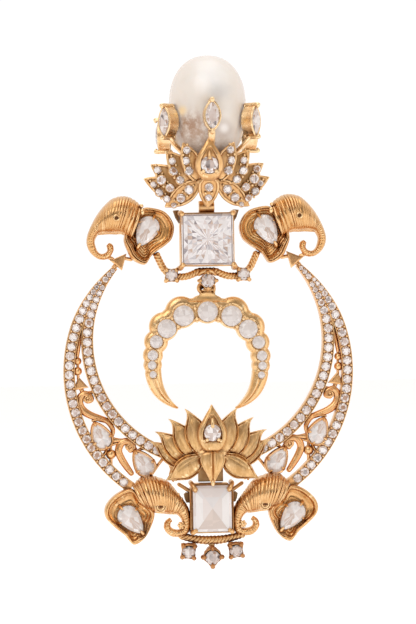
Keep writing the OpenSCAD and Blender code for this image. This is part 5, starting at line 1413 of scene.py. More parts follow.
def build_elephants():
    # upper pair
    eye = (15.0, -7.0)
    s = head(UPPER_HEAD, 26, eye=eye, top_amp=0.17)
    ef = head_front(UPPER_HEAD, *eye)
    s.merge(eye_ring(eye[0], eye[1], ef + 0.02, 0.44, 0.16))
    pear = (11.25, -11.52, 8.72, -6.92, 1.80)
    s.merge(build_ear(UPPER_EAR, pear, [((2.6, -3.6), 0.85)], ridge_pitch=0.43, rim_w=0.50))
    # little flap and grain beside the head's joint
    s.merge(sphere(at(10.62, -6.0, 2.3), 0.42, 8, 12, (1, 1, 1.3)))
    s.merge(sphere(at(10.75, -5.05, 2.0), 0.34, 8, 12))
    # dark ball in the eye ring: painted shade of the hollow
    eye_shade_ball = sphere(at(eye[0], eye[1] - 0.04, ef + 0.02), 0.27, 10, 14, (1, 0.5, 1))
    st = pear_stone(pear, 1.42)
    for side, mir in (("right", False), ("left", True)):
        to_object("elephant_upper_%s_look" % side, Shape().merge(s, mirror=mir), GOLD_HEAD, BODY, ["elephant_upper_" + side], 50)
        to_object("elephant_upper_%s_eye" % side, Shape().merge(eye_shade_ball, mirror=mir), EYE_HOLLOW_SHADE, BODY, ())
        to_object("ear_stone_upper_%s_look" % side, Shape().merge(st, mirror=mir), SOFT, BODY, ["ear_stone_upper_" + side])
    # lower pair
    eye = (8.60, -54.20)
    s = head(LOWER_HEAD, 26, eye=eye, pitch=0.70, top_amp=0.24)
    ef = head_front(LOWER_HEAD, *eye)
    s.merge(eye_ring(eye[0], eye[1], ef + 0.02, 0.52, 0.16))
    s.merge(eye_ring(eye[0], eye[1], ef - 0.10, 0.86, 0.12))
    pear = (11.52, -58.60, 14.88, -54.48, 1.76)
    s.merge(build_ear(LOWER_EAR, pear, [((-3.2, -2.6), 0.6)], ridge_pitch=0.58, rim_w=0.78))
    # folds where the trunk leaves the head, and the little tusk bump
    for q, w in ((5.15, 0.30), (5.55, 0.26)):
        L = smooth_line(LOWER_HEAD, 20)
        r = L[int(q * 20)]
        P = [at(r[0] + (r[2] - r[0]) * k, r[1] + (r[3] - r[1]) * k, 0.75 + r[4] * 0.95 * math.sin(PI * k) ** 0.6) for k in np.linspace(0.05, 0.95, 14)]
        s.merge(tube(np.array(P), w, n=12))
    for a in np.linspace(0, 1, 7)[:-1]:
        s.merge(sphere(at(5.08 + 0.42 * math.cos(a * 2 * PI), -57.55 + 0.42 * math.sin(a * 2 * PI), 1.62), 0.25, 8, 12))
    s.merge(sphere(at(5.08, -57.55, 1.70), 0.36, 10, 14))
    s.merge(rod(at(5.08, -57.55, 0.2), at(5.08, -57.55, 1.6), 0.45, 14))
    eye_shade_ball = sphere(at(eye[0], eye[1], ef + 0.02), 0.25, 10, 14, (1, 0.5, 1))
    st = pear_stone(pear, 1.42)
    for side, mir in (("right", False), ("left", True)):
        to_object("elephant_lower_%s_look" % side, Shape().merge(s, mirror=mir), GOLD_LOW, BODY, ["elephant_lower_" + side], 50)
        to_object("elephant_lower_%s_eye" % side, Shape().merge(eye_shade_ball, mirror=mir), EYE_HOLLOW_SHADE, BODY, ())
        to_object("ear_stone_lower_%s_look" % side, Shape().merge(st, mirror=mir), SOFT, BODY, ["ear_stone_lower_" + side])


# ------------------------------------------------------------------ garlands
def rope(P3, R, strands=3, pitch=1.5, strand_r=0.62, n=10):
    """Twisted rope round a path of points in space."""
    d = np.r_[0, np.cumsum(np.linalg.norm(np.diff(P3, axis=0), axis=1))]
    m = max(int(d[-1] / 0.09), 8)
    t = np.linspace(0, d[-1], m)
    P = np.stack([np.interp(t, d, P3[:, k]) for k in range(3)], 1)
    T, S, U = frames(P)
    Rr = np.interp(np.linspace(0, 1, m), np.linspace(0, 1, len(np.atleast_1d(R))), np.atleast_1d(R)) if np.ndim(R) else np.full(m, R)
    s = Shape()
    for k in range(strands):
        ph = 2 * PI * (t / pitch) + 2 * PI * k / strands
        Q = P + (S * np.cos(ph)[:, None] + U * np.sin(ph)[:, None]) * (Rr * (1 - strand_r) * 1.05)[:, None]
        s.merge(tube(Q, Rr * strand_r, n=n))
    return s


def cup(x, z, r, f, back, claws=4, turn=45.0, claw_r=0.30, square=False):
    """Setting of a round stone: open cup with lobes, round-headed claws."""
    s = Shape()
    n = 48
    a = np.linspace(0, 2 * PI, n, endpoint=False)
    lob = 0.10 * np.cos(claws * (a - math.radians(turn)))
    rings = []
    for rad, ff, k in ((r - 0.35, back, 0), (r + 0.0, back, 0.5), (r + 0.16, f - 0.9, 1), (r + 0.26, f - 0.35, 1.6), (r + 0.24, f - 0.10, 1.6), (r + 0.12, f - 0.02, 1.0), (r + 0.02, f - 0.08, 0.3), (r - 0.30, f - 0.7, 0)):
        rr = rad + lob * k
        rings.append([at(x + rr[i] * math.cos(a[i]), z + rr[i] * math.sin(a[i]), ff) for i in range(n)])
    s.grid(np.array(rings), wrap_u=True, wrap_v=True)
    for k in range(claws):
        t = math.radians(turn + 360.0 * k / claws)
        c, sn = math.cos(t), math.sin(t)
        q = r + 0.30
        P = [at(x + (q - 0.15) * c, z + (q - 0.15) * sn, back + 0.1), at(x + (q + 0.10) * c, z + (q + 0.10) * sn, f - 0.3),
             at(x + (q + 0.06) * c, z + (q + 0.06) * sn, f + 0.12 * r), at(x + (q - 0.16) * c, z + (q - 0.16) * sn, f + 0.34 * r)]
        s.merge(tube(np.array(P), [claw_r * 0.9, claw_r, claw_r * 1.1, claw_r * 0.85], n=12, up=(0.3 * sn, 0, -0.3 * c) if abs(c) + abs(sn) else (1, 0, 0)))
    return s


def build_garlands():
    s = Shape()
    L = smooth_line(GARLAND_ROPE, 8)
    L = np.vstack([L, (L * [-1, 1])[::-1][1:]])
    P = np.array([at(p[0], p[1], 0.2) for p in L])
    s.merge(rope(P, 0.60, 3, 1.7, 0.52))
    s.merge(cup(0, -17.45, 1.10, 1.80, 0.78, 4, 0.0, 0.28))
    s.merge(slab(np.array([(-0.95, -17.9), (-1.0, -17.2), (-0.8, -16.5), (0.8, -16.5), (1.0, -17.2), (0.95, -17.9), (0.5, -18.2), (-0.5, -18.2)]), -0.6, 0.95, 0.1))
    for e in (-1, 1):
        s.merge(cup(e * 5.96, -16.45, 0.95, 1.42, -0.2, 4, 45.0, 0.32))
    # collar above the middle stone
    s.merge(tube(np.array([at(-1.35, -16.35, 0.3), at(-0.7, -15.95, 0.9), at(0, -15.8, 1.1), at(0.7, -15.95, 0.9), at(1.35, -16.35, 0.3)]), [0.34, 0.44, 0.50, 0.44, 0.34], n=12))
    # bar of the drop and the two ears that carry it
    s.merge(rod((-1.3, PLANE, HINGE_Z), (1.3, PLANE, HINGE_Z), BAR_R - 0.01, 20, ends=False))
    # plate between the ears, above the eye of the drop, and the small hood under the cup
    s.merge(slab(np.array([(-0.5, -18.65), (-0.25, -18.6), (0.25, -18.6), (0.5, -18.65), (0.80, -18.85), (1.05, -19.08), (0.4, -19.1), (-0.4, -19.1), (-1.05, -19.08), (-0.80, -18.85)]), 0.98, 1.42, 0.12))
    s.merge(slab(np.array([(-1.45, -18.9), (-1.5, -18.3), (-1.05, -17.6), (1.05, -17.6), (1.45, -18.3), (1.40, -18.9), (0.95, -18.9), (0.78, -18.42), (-0.78, -18.42), (-0.95, -18.9)]), -0.75, -0.25, 0.06))
    for e in (-1, 1):
        if e < 0:
            T = [(0.80, -17.8, 0.30), (1.20, -18.15, 0.36), (1.38, -18.6, 0.36), (1.32, -19.0, 0.32), (1.15, -19.3, 0.24)]
        else:
            T = [(0.66, -18.0, 0.34), (0.90, -18.35, 0.38), (1.08, -18.7, 0.36), (1.12, -19.05, 0.28), (1.05, -19.3, 0.22)]
        L = smooth_line(T, 6)
        P = np.array([at(e * p[0], p[1], 0.05) for p in L])
        s.merge(tube(P, L[:, 2], np.interp(np.linspace(0, 1, len(L)), [0, 0.5, 1], [0.46, 0.52, 0.40]), n=16, power=0.9, up=(0, 1, 0)))
        r = revolve([(0.02, -0.20), (0.40, -0.21), (0.52, -0.12), (0.56, 0.0), (0.52, 0.12), (0.40, 0.21), (0.02, 0.20)], 32, axis='x')
        s.merge(r, lambda v, e=e: v + np.array([e * 1.05, PLANE, HINGE_Z]))
    to_object("upper_garland_look", s, GOLD, BODY, ["upper_garland"], 50)
    for k, (x, z, r) in enumerate(GARLAND_STONES):
        f = 1.85 if k == 0 else 1.45
        g = Shape().merge(round_gem(r + 0.02, 0.55, 0.36), place_front(x, z, f + 0.02, spin=0.2 + k))
        to_object("garland_stone_%d_look" % (k + 1), g, CLEAR, BODY, ["garland_stone_%d" % (k + 1)])
    s = Shape()
    L = smooth_line(LOWER_ROPE, 8)
    L = np.vstack([L, (L * [-1, 1])[::-1][1:]])
    P = np.array([at(p[0], p[1], 0.4) for p in L])
    m = len(P)
    s.merge(rope(P, np.interp(np.linspace(0, 1, m), [0, 0.5, 1], [0.60, 0.76, 0.60]), 3, 1.9, 0.50))
    c3 = Shape()
    c3.merge(cup(0, -62.90, 1.20, 1.58, -0.4, 4, 90.0, 0.38))
    for e in (-1, 1):
        c3.merge(cup(e * 3.92, -61.95, 1.04, 1.38, -0.4, 4, 45.0 + 6 * e, 0.34))
        for cx, cz, rr, lo, hi in ((e * 3.92, -61.95, 1.20, 40, 140),) + (((0, -62.9, 1.36, 35, 145),) if e > 0 else ()):
            w = np.radians(np.linspace(lo, hi, 15))
            P = np.array([at(cx + rr * math.cos(q), cz + rr * math.sin(q) * 0.97, 1.15) for q in w])
            c3.merge(tube(P, np.interp(np.linspace(0, 1, 15), [0, 0.5, 1], [0.20, 0.34, 0.20]), 0.62, n=14, up=(0, 1, 0)))
            # top walls of the box that holds the cup
            if abs(cx) > 1:
                wall = [(-1.12, 0.30), (-1.24, 0.85), (-1.26, 1.36), (-0.78, 1.46), (-0.42, 1.20), (0.42, 1.20), (0.78, 1.46), (1.26, 1.36), (1.24, 0.85), (1.12, 0.30), (0.86, 0.62), (0.50, 0.84), (0, 0.92), (-0.50, 0.84), (-0.86, 0.62)]
            else:
                wall = [(-1.42, 0.02), (-1.46, 0.50), (-1.30, 0.98), (-0.80, 1.34), (-0.36, 1.72), (0.36, 1.72), (0.80, 1.34), (1.30, 0.98), (1.46, 0.50), (1.42, 0.02), (1.12, 0.52), (0.66, 0.94), (0, 1.10), (-0.66, 0.94), (-1.12, 0.52)]
            c3.merge(slab(np.array(wall) * [0.96, 1.0] + [cx, cz], 0.5, 1.72, 0.14))
        # box back of the side cups, seen above the stones
        q = slab(np.array([(3.0, -61.3), (3.35, -60.55), (3.95, -60.75), (4.55, -60.55), (4.9, -61.3), (4.3, -61.6), (3.5, -61.6)]) * [e, 1], -0.3, 1.0, 0.1)
        c3.merge(q)
    c3.merge(slab(np.array([(-1.15, -62.1), (-0.75, -61.45), (0, -60.95), (0.75, -61.45), (1.15, -62.1), (0.5, -62.3), (-0.5, -62.3)]), -0.3, 1.15, 0.1))
    s.merge(rod(at(0, -60.5, 0.4), at(0, -61.8, 0.4), 0.48))
    to_object("lower_garland_look", s, GOLD, BODY, ["lower_garland"], 50)
    # cups and the walls of their boxes in the darker gilt: painted shade
    to_object("lower_garland_cups", c3, GOLD_CUP_SHADE, BODY, (), 50)
    for k, (x, z, r) in enumerate(BOTTOM_STONES):
        f = 1.6 if k == 0 else 1.4
        g = Shape().merge(round_gem(r + 0.10, 0.55, 0.36), place_front(x, z, f + 0.02, spin=0.1 + k))
        to_object("bottom_stone_%d_look" % (k + 1), g, CLEAR, BODY, ["bottom_stone_%d" % (k + 1)])


# ------------------------------------------------------------------ crescent frame
def circle_gap(p, n, centre, r):
    """Distance from p along n to the circle."""
    q = np.asarray(p, float) - np.asarray(centre, float)
    b = float(np.dot(q, n))
    c = float(np.dot(q, q)) - r * r
    disc = b * b - c
    if disc < 0:
        return 99.0
    roots = [t for t in (-b - math.sqrt(disc), -b + math.sqrt(disc)) if t > 1e-6]
    return min(roots) if roots else 99.0


def band_section(w, back=-1.0, rim=0.20, front=1.0, bed=0.74):
    """Half open channel across a band of width w: (place from its inner edge, depth)."""
    rim = min(rim, w * 0.11)
    pts = [(0.0, back + 0.12), (0.0, -0.2), (0.0, front - 0.13), (0.03, front - 0.03), (rim * 0.5, front), (rim * 0.9, front - 0.03),
           (rim * 1.15, bed + 0.03), (rim * 1.5, bed), (w * 0.5, bed - 0.02), (w - rim * 1.5, bed), (w - rim * 1.15, bed + 0.03),
           (w - rim * 0.9, front - 0.03), (w - rim * 0.5, front), (w - 0.03, front - 0.03), (w, front - 0.13), (w, -0.2), (w, back + 0.12),
           (w - 0.12, back), (w * 0.5, back), (0.12, back)]
    return pts


def band(points, normals, widths, edges=None):
    """Band along its outer edge; normals point inward."""
    G = []
    for p, n, w in zip(points, normals, widths):
        G.append([at(*(np.asarray(p) + np.asarray(n) * (w - q)), f) for q, f in band_section(w)])
    return Shape().grid(np.array(G), wrap_v=True, cap0=True, cap1=True)


def build_frame():
    s, pv = Shape(), Shape()
    # outer band, right side from the arm tip down to the elephant
    A0 = math.asin((-14.30 - OUTER_Z) / OUTER_R)
    A1 = math.asin((-52.0 - OUTER_Z) / OUTER_R)
    ang = np.linspace(A0, A1, 260)
    pts = np.stack([OUTER_R * np.cos(ang), OUTER_Z + OUTER_R * np.sin(ang)], 1)
    nrm = -np.stack([np.cos(ang), np.sin(ang)], 1)
    # towards its tip the arm is drawn in from the outside
    pts = pts + nrm * (0.55 * np.clip((pts[:, 1] + 23.9) / 9.2, 0, 1) ** 1.3)[:, None]
    gap = np.array([circle_gap(p, n, (0, INNER_Z), INNER_R) for p, n in zip(pts, nrm)])
    single = gap < 1.66
    wd = np.where(single, gap, np.minimum(OUTER_W, gap * 0.515))
    i0 = int(np.argmin(single))
    s.merge(band(pts[:i0 + 1], nrm[:i0 + 1], gap[:i0 + 1]))
    s.merge(band(pts[i0:], nrm[i0:], wd[i0:]))
    # inner band from where the two part, round under the drop
    z_start = pts[i0][1] + nrm[i0][1] * gap[i0]
    B0 = math.asin(min((z_start - INNER_Z) / INNER_R, 0.999))
    B1 = -PI / 2
    angb = np.linspace(B0, B1, 260)
    ib = np.stack([INNER_R * np.cos(angb), INNER_Z + INNER_R * np.sin(angb)], 1)
    nb = np.stack([np.cos(angb), np.sin(angb)], 1)
    gb = np.array([circle_gap(p, n, (0, OUTER_Z), OUTER_R) for p, n in zip(ib, nb)])
    wb = np.minimum(INNER_W, gb * 0.50)
    G = []
    for p, n, w in zip(ib, nb, wb):
        G.append([at(*(p + n * q), f) for q, f in band_section(w)])
    s.merge(Shape().grid(np.array(G), wrap_v=True, cap0=True, cap1=True))

    # stones and grains along a row
    def row(line, radii, first=0.0, end=None, grain=0.52):
        line = np.asarray(line)
        d = np.r_[0, np.cumsum(np.linalg.norm(np.diff(line, axis=0), axis=1))]
        x = first
        prev = None
        while True:
            r = float(np.interp(x, d, radii))
            if x + r > (d[-1] if end is None else end):
                break
            p = np.array([np.interp(x, d, line[:, 0]), np.interp(x, d, line[:, 1])])
            q = np.array([np.interp(min(x + 0.05, d[-1]), d, line[:, 0]), np.interp(min(x + 0.05, d[-1]), d, line[:, 1])])
            t = unit(q - p)
            sd = np.array([-t[1], t[0]])
            spin = RNG.uniform(0, 0.7)
            tl = (RNG.uniform(-0.07, 0.07), RNG.uniform(-0.07, 0.07))
            pv.merge(Shape().merge(round_gem(r * 0.97, 0.56, 0.40), place_front(p[0], p[1], 0.93 + RNG.uniform(-0.02, 0.02), tl, spin)))
            seat = revolve([(r * 0.96, -0.2), (r * 1.06, -0.2), (r * 1.06, 0.0), (r * 1.00, 0.02)], 20)
            s.merge(Shape().merge(seat, place_front(p[0], p[1], 0.88)))
            if prev is not None:
                m = (p + prev[0]) / 2
                rr = (r + prev[1]) / 2
                for e in (-1, 1):
                    g = m + sd * e * rr * 0.80
                    s.merge(sphere(at(g[0], g[1], 1.06), 0.19 * min(1, rr / 0.6) + RNG.uniform(-0.012, 0.012), 7, 10, (1, 1.2, 1)))
            prev = (p, r)
            x += 2 * r + 0.10 if r > 0.5 else 2 * r + 0.10
    mid = pts[:i0 + 1] + nrm[:i0 + 1] * (gap[:i0 + 1] / 2)[:, None]
    row(mid, np.clip(gap[:i0 + 1] * 0.37, 0.20, 0.60), first=0.75)
    line = pts[i0:] + nrm[i0:] * (wd[i0:] / 2)[:, None]
    row(line, np.clip(wd[i0:] * 0.425, 0.36, 0.735), first=0.10)
    line = ib + nb * (wb / 2)[:, None]
    keep = (ib[:, 0] > 7.5)
    row(line[keep], np.clip(wb[keep] * 0.425, 0.30, 0.745), first=0.35)

    # scrolls: cast wires with a rounded front and a line along them
    for T in (SCROLL_1, SCROLL_2):
        L = smooth_line(T, 8)
        P = np.array([at(p[0], p[1], 0.05) for p in L])
        s.merge(tube(P, L[:, 2] * 1.20, np.full(len(L), 0.62), n=18, power=0.85))
        c = np.array([T[:4, 0].mean() + 0.12, T[:4, 1].mean() - 0.08])
        s.merge(Shape().merge(revolve([(0.02, -0.5), (0.78, -0.5), (0.84, -0.2), (0.78, 0.12), (0.5, 0.22), (0.02, 0.26)], 32), place_front(c[0], c[1], 0.22)))
        Q = []
        for k in np.linspace(0, 1, 34):
            a = math.atan2(T[2][1] - c[1], T[2][0] - c[0]) + k * 2 * PI * 1.25
            q = 0.70 * (1 - k) + 0.10
            Q.append(at(c[0] + q * math.cos(a), c[1] + q * math.sin(a), 0.46 + 0.14 * k))
        s.merge(tube(np.array(Q), np.linspace(0.17, 0.12, 34), n=10))
        s.merge(sphere(at(c[0], c[1], 0.62), 0.20, 8, 12))
        P = np.array([at(p[0], p[1], 0.50) for p in L[6:-4]])
        s.merge(tube(P, L[6:-4, 2] * 0.42, np.full(len(L) - 10, 0.26), n=10))
    for x1, z1, x2, z2, r in FRAME_RODS:
        s.merge(rod(at(x1, z1, 0), at(x2, z2, 0), r, 14))
    for x, z, r in FRAME_BEADS:
        r = r * 1.15
        s.merge(sphere(at(x, z, 0.1), r, 14, 20))
        s.merge(eye_ring(x, z, 0.1, r * 0.95, 0.10))
    # leaf between the upper pear stone and the second scroll
    P = np.array([at(p[0], p[1], 0.3) for p in smooth_line([(17.2, -42.3), (16.3, -43.3), (15.1, -43.4), (13.9, -43.3)], 6)])
    s.merge(tube(P, np.interp(np.linspace(0, 1, len(P)), [0, 0.45, 1], [0.20, 0.46, 0.12]), 0.3, n=12))
    P = np.array([at(p[0], p[1], 0.2) for p in smooth_line([(17.5, -44.0), (16.2, -44.1), (15.2, -43.9)], 6)])
    s.merge(tube(P, np.interp(np.linspace(0, 1, len(P)), [0, 0.5, 1], [0.12, 0.30, 0.10]), 0.3, n=12))
    # wires from the pear settings to the bands
    for c in ([(17.0, -44.9), (17.6, -46.0), (17.9, -46.9)],
              [(11.9, -45.3), (11.3, -44.9), (10.4, -45.0), (9.6, -45.3)], [(10.2, -49.3), (9.6, -49.0), (8.6, -47.6), (7.6, -46.4)]):
        P = np.array([at(p[0], p[1], 0.0) for p in smooth_line(c, 6)])
        s.merge(tube(P, 0.27, 0.5, n=12))
    # curved leaf over the upper pear stone
    L = smooth_line([(19.3, -40.15, 0.20), (17.9, -39.92, 0.34), (16.75, -40.45, 0.42), (16.02, -41.6, 0.40), (16.12, -42.75, 0.30), (16.55, -43.6, 0.14)], 8)
    P = np.array([at(p[0], p[1], 0.25) for p in L])
    s.merge(tube(P, L[:, 2], 0.48, n=16, power=0.9))
    P = np.array([at(p[0] + 0.05, p[1] + 0.05, 0.62) for p in L[4:-6]])
    s.merge(tube(P, L[4:-6, 2] * 0.36, 0.20, n=10))
    # pear settings: wall with a bright inside, claws
    for R in FRAME_PEARS:
        n = 48
        rings = [(pear_edge(R, -0.45, n), -0.6), (pear_edge(R, 0.22, n), -0.68), (pear_edge(R, 0.38, n), -0.3), (pear_edge(R, 0.42, n), 0.6),
                 (pear_edge(R, 0.36, n), 1.02), (pear_edge(R, 0.24, n), 1.14), (pear_edge(R, 0.12, n), 1.06), (pear_edge(R, 0.06, n), 0.5), (pear_edge(R, -0.10, n), -0.2)]
        s.grid(np.array([[at(p[0], p[1], f) for p in Q] for Q, f in rings]), wrap_u=True, wrap_v=True)
        tip, end = np.array(R[:2]), np.array(R[2:4])
        d = unit(tip - end)
        w = np.array([-d[1], d[0]])
        m = end + d * R[4]
        for q, o in ((tip + d * 0.25, -d), (end - d * 0.2, d), (m + w * (R[4] + 0.15), -w), (m - w * (R[4] + 0.15), w)):
            s.merge(tube(np.array([at(*(q - o * 0.1), 0.4), at(*q, 1.15), at(*(q + o * 0.32), 1.48)]), [0.24, 0.27, 0.17], n=12, up=(1, 0, 0)))
    tri = np.array(FRAME_TRIANGLE)
    s.merge(slab(np.array([tri[i] + (tri[(i + 1) % 3] - tri[i]) * k / 5 for i in range(3) for k in range(5)]), -0.6, 0.62, 0.12))
    tri = np.array(ARM_TRIANGLE)
    s.merge(slab(np.array([tri[i] + (tri[(i + 1) % 3] - tri[i]) * k / 5 for i in range(3) for k in range(5)]), -0.5, 0.58, 0.09))
    s.merge(rod(at(14.6, -14.3, 0), at(15.35, -15.0, 0), 0.40, 14))
    s.merge(rod(at(13.9, -13.45, 0), at(12.5, -13.75, 0), 0.30, 12))
    s.merge(rod(at(15.6, -13.6, 0.1), at(16.80, -13.02, 0.2), 0.34, 12))
    s.merge(rod(at(6.9, -46.4, -0.2), at(5.75, -50.0, -0.2), 0.40, 14))
    s.merge(tube(np.array([at(6.0, -47.9, 0.5), at(6.5, -49.2, 0.4), at(6.2, -50.3, 0.3)]), [0.5, 0.42, 0.2], 0.3, n=12))
    full = Shape().merge(s).merge(s, mirror=True)
    # neck behind the lower lotus
    full.merge(slab(rect(-2.0, -50.5, 2.0, -47.4), -0.98, 0.9, 0.15))
    to_object("crescent_frame_look", full, GOLD_PAVE, BODY, ["crescent_frame"], 45)
    both = Shape().merge(pv).merge(pv, mirror=True)
    to_object("crescent_paving", both, PAVE, BODY, ())
    for k in (1, 2, 3, 4):
        R = FRAME_PEARS[(k - 1) % 2]
        st = pear_stone(R, 0.86, 0.50, 0.95)
        to_object("frame_stone_%d_look" % k, Shape().merge(st, mirror=k > 2), SOFT, BODY, ["frame_stone_%d" % k])


# ------------------------------------------------------------------ lower setting
def build_lower_setting():
    s = Shape()
    w, h, o = OB_W / 2, OB_H / 2, 0.27

    def plate(g, c):
        x0, x1, z0, z1 = -w - g, w + g, OB_Z - h - g, OB_Z + h + g
        P = []
        C = [(x0 + c * 0.6, z0), (x1 - c * 0.6, z0), (x1, z0 + c * 0.6), (x1, z1 - c), (x1 - c, z1), (x0 + c, z1), (x0, z1 - c), (x0, z0 + c * 0.6)]
        for i in range(8):
            a, b = np.array(C[i]), np.array(C[(i + 1) % 8])
            for k in range(4):
                P.append(a + (b - a) * k / 4)
        return np.array(P)
    s.merge(slab(plate(o, 0.75), -1.0, 1.75, 0.14, plate(-0.02, 0.62)))
    s.merge(slab(plate(0.0, 0.6), -0.95, 0.5, 0.1, plate(-0.85, 0.5)))
    # top corners: big folded claws; lower corners: bars with rounded feet
    for e in (-1, 1):
        x, z = e * (w - 0.05), OB_Z + h - 0.05
        P = np.array([at(x + e * 0.18, z + 0.42, 0.2), at(x + e * 0.20, z + 0.36, 2.3), at(x + e * 0.02, z + 0.05, 3.02), at(x - e * 0.22, z - 0.40, 3.26), at(x - e * 0.36, z - 0.74, 3.16)])
        L = smooth_line(P, 5)
        s.merge(tube(L, np.interp(np.linspace(0, 1, len(L)), [0, 0.5, 0.85, 1], [0.42, 0.50, 0.52, 0.34]), 0.38, n=14, up=(1, 0, 0)))
        s.merge(sphere(at(x - e * 0.30, z - 0.52, 3.20), 0.46, 10, 14, (1, 0.55, 1)))
        x, z = e * (w + 0.05), OB_Z - h + 0.05
        P = np.array([at(x + e * 0.05, z - 0.10, 0.0), at(x + e * 0.02, z - 0.12, 2.4), at(x - e * 0.15, z + 0.02, 3.02), at(x - e * 0.50, z + 0.24, 3.14)])
        L = smooth_line(P, 5)
        s.merge(tube(L, np.interp(np.linspace(0, 1, len(L)), [0, 0.6, 1], [0.38, 0.42, 0.26]), 0.36, n=14, up=(1, 0, 0)))
        s.merge(rod(at(e * (w + 0.2), OB_Z + h - 1.1, 0.0), at(e * 5.2, -50.95, -0.2), 0.33, 14))
        # side bars
        s.merge(tube(np.array([at(e * (w + 0.26), OB_Z - h + 0.4, 1.4), at(e * (w + 0.28), OB_Z, 1.5), at(e * (w + 0.26), OB_Z + h - 0.9, 1.4)]), 0.17, 0.5, n=12))
    to_object("lower_setting_look", s, GOLD, BODY, ["lower_setting"], 45)
    d = Shape()
    d.merge(slab(rect(-2.03, -50.52, 2.03, -47.6), -0.5, 0.96, 0.1))
    for m in (False, True):
        d.merge(slab(np.array([(3.5, -53.95), (3.5, -52.35), (4.10, -52.25), (4.45, -52.55), (4.30, -53.35), (4.05, -53.95)]), -0.7, 0.4, 0.05), mirror=m)
    to_object("lower_setting_links", d, GOLD_SHADE, BODY, ())
    st = Shape().merge(crossed(w - 0.04, h - 0.04, 0.52, 0.62), place_front(0, OB_Z, 2.55))
    to_object("lower_stone_look", st, MISTY, BODY, ["lower_stone"])


# ------------------------------------------------------------------ drop
def scallop(D):
    if D[0] == 0:
        return np.array([0, 0.2])
    return unit([D[0], D[1] + 30.2]) * (0.15 + 0.35 * (D[2] - 0.5))


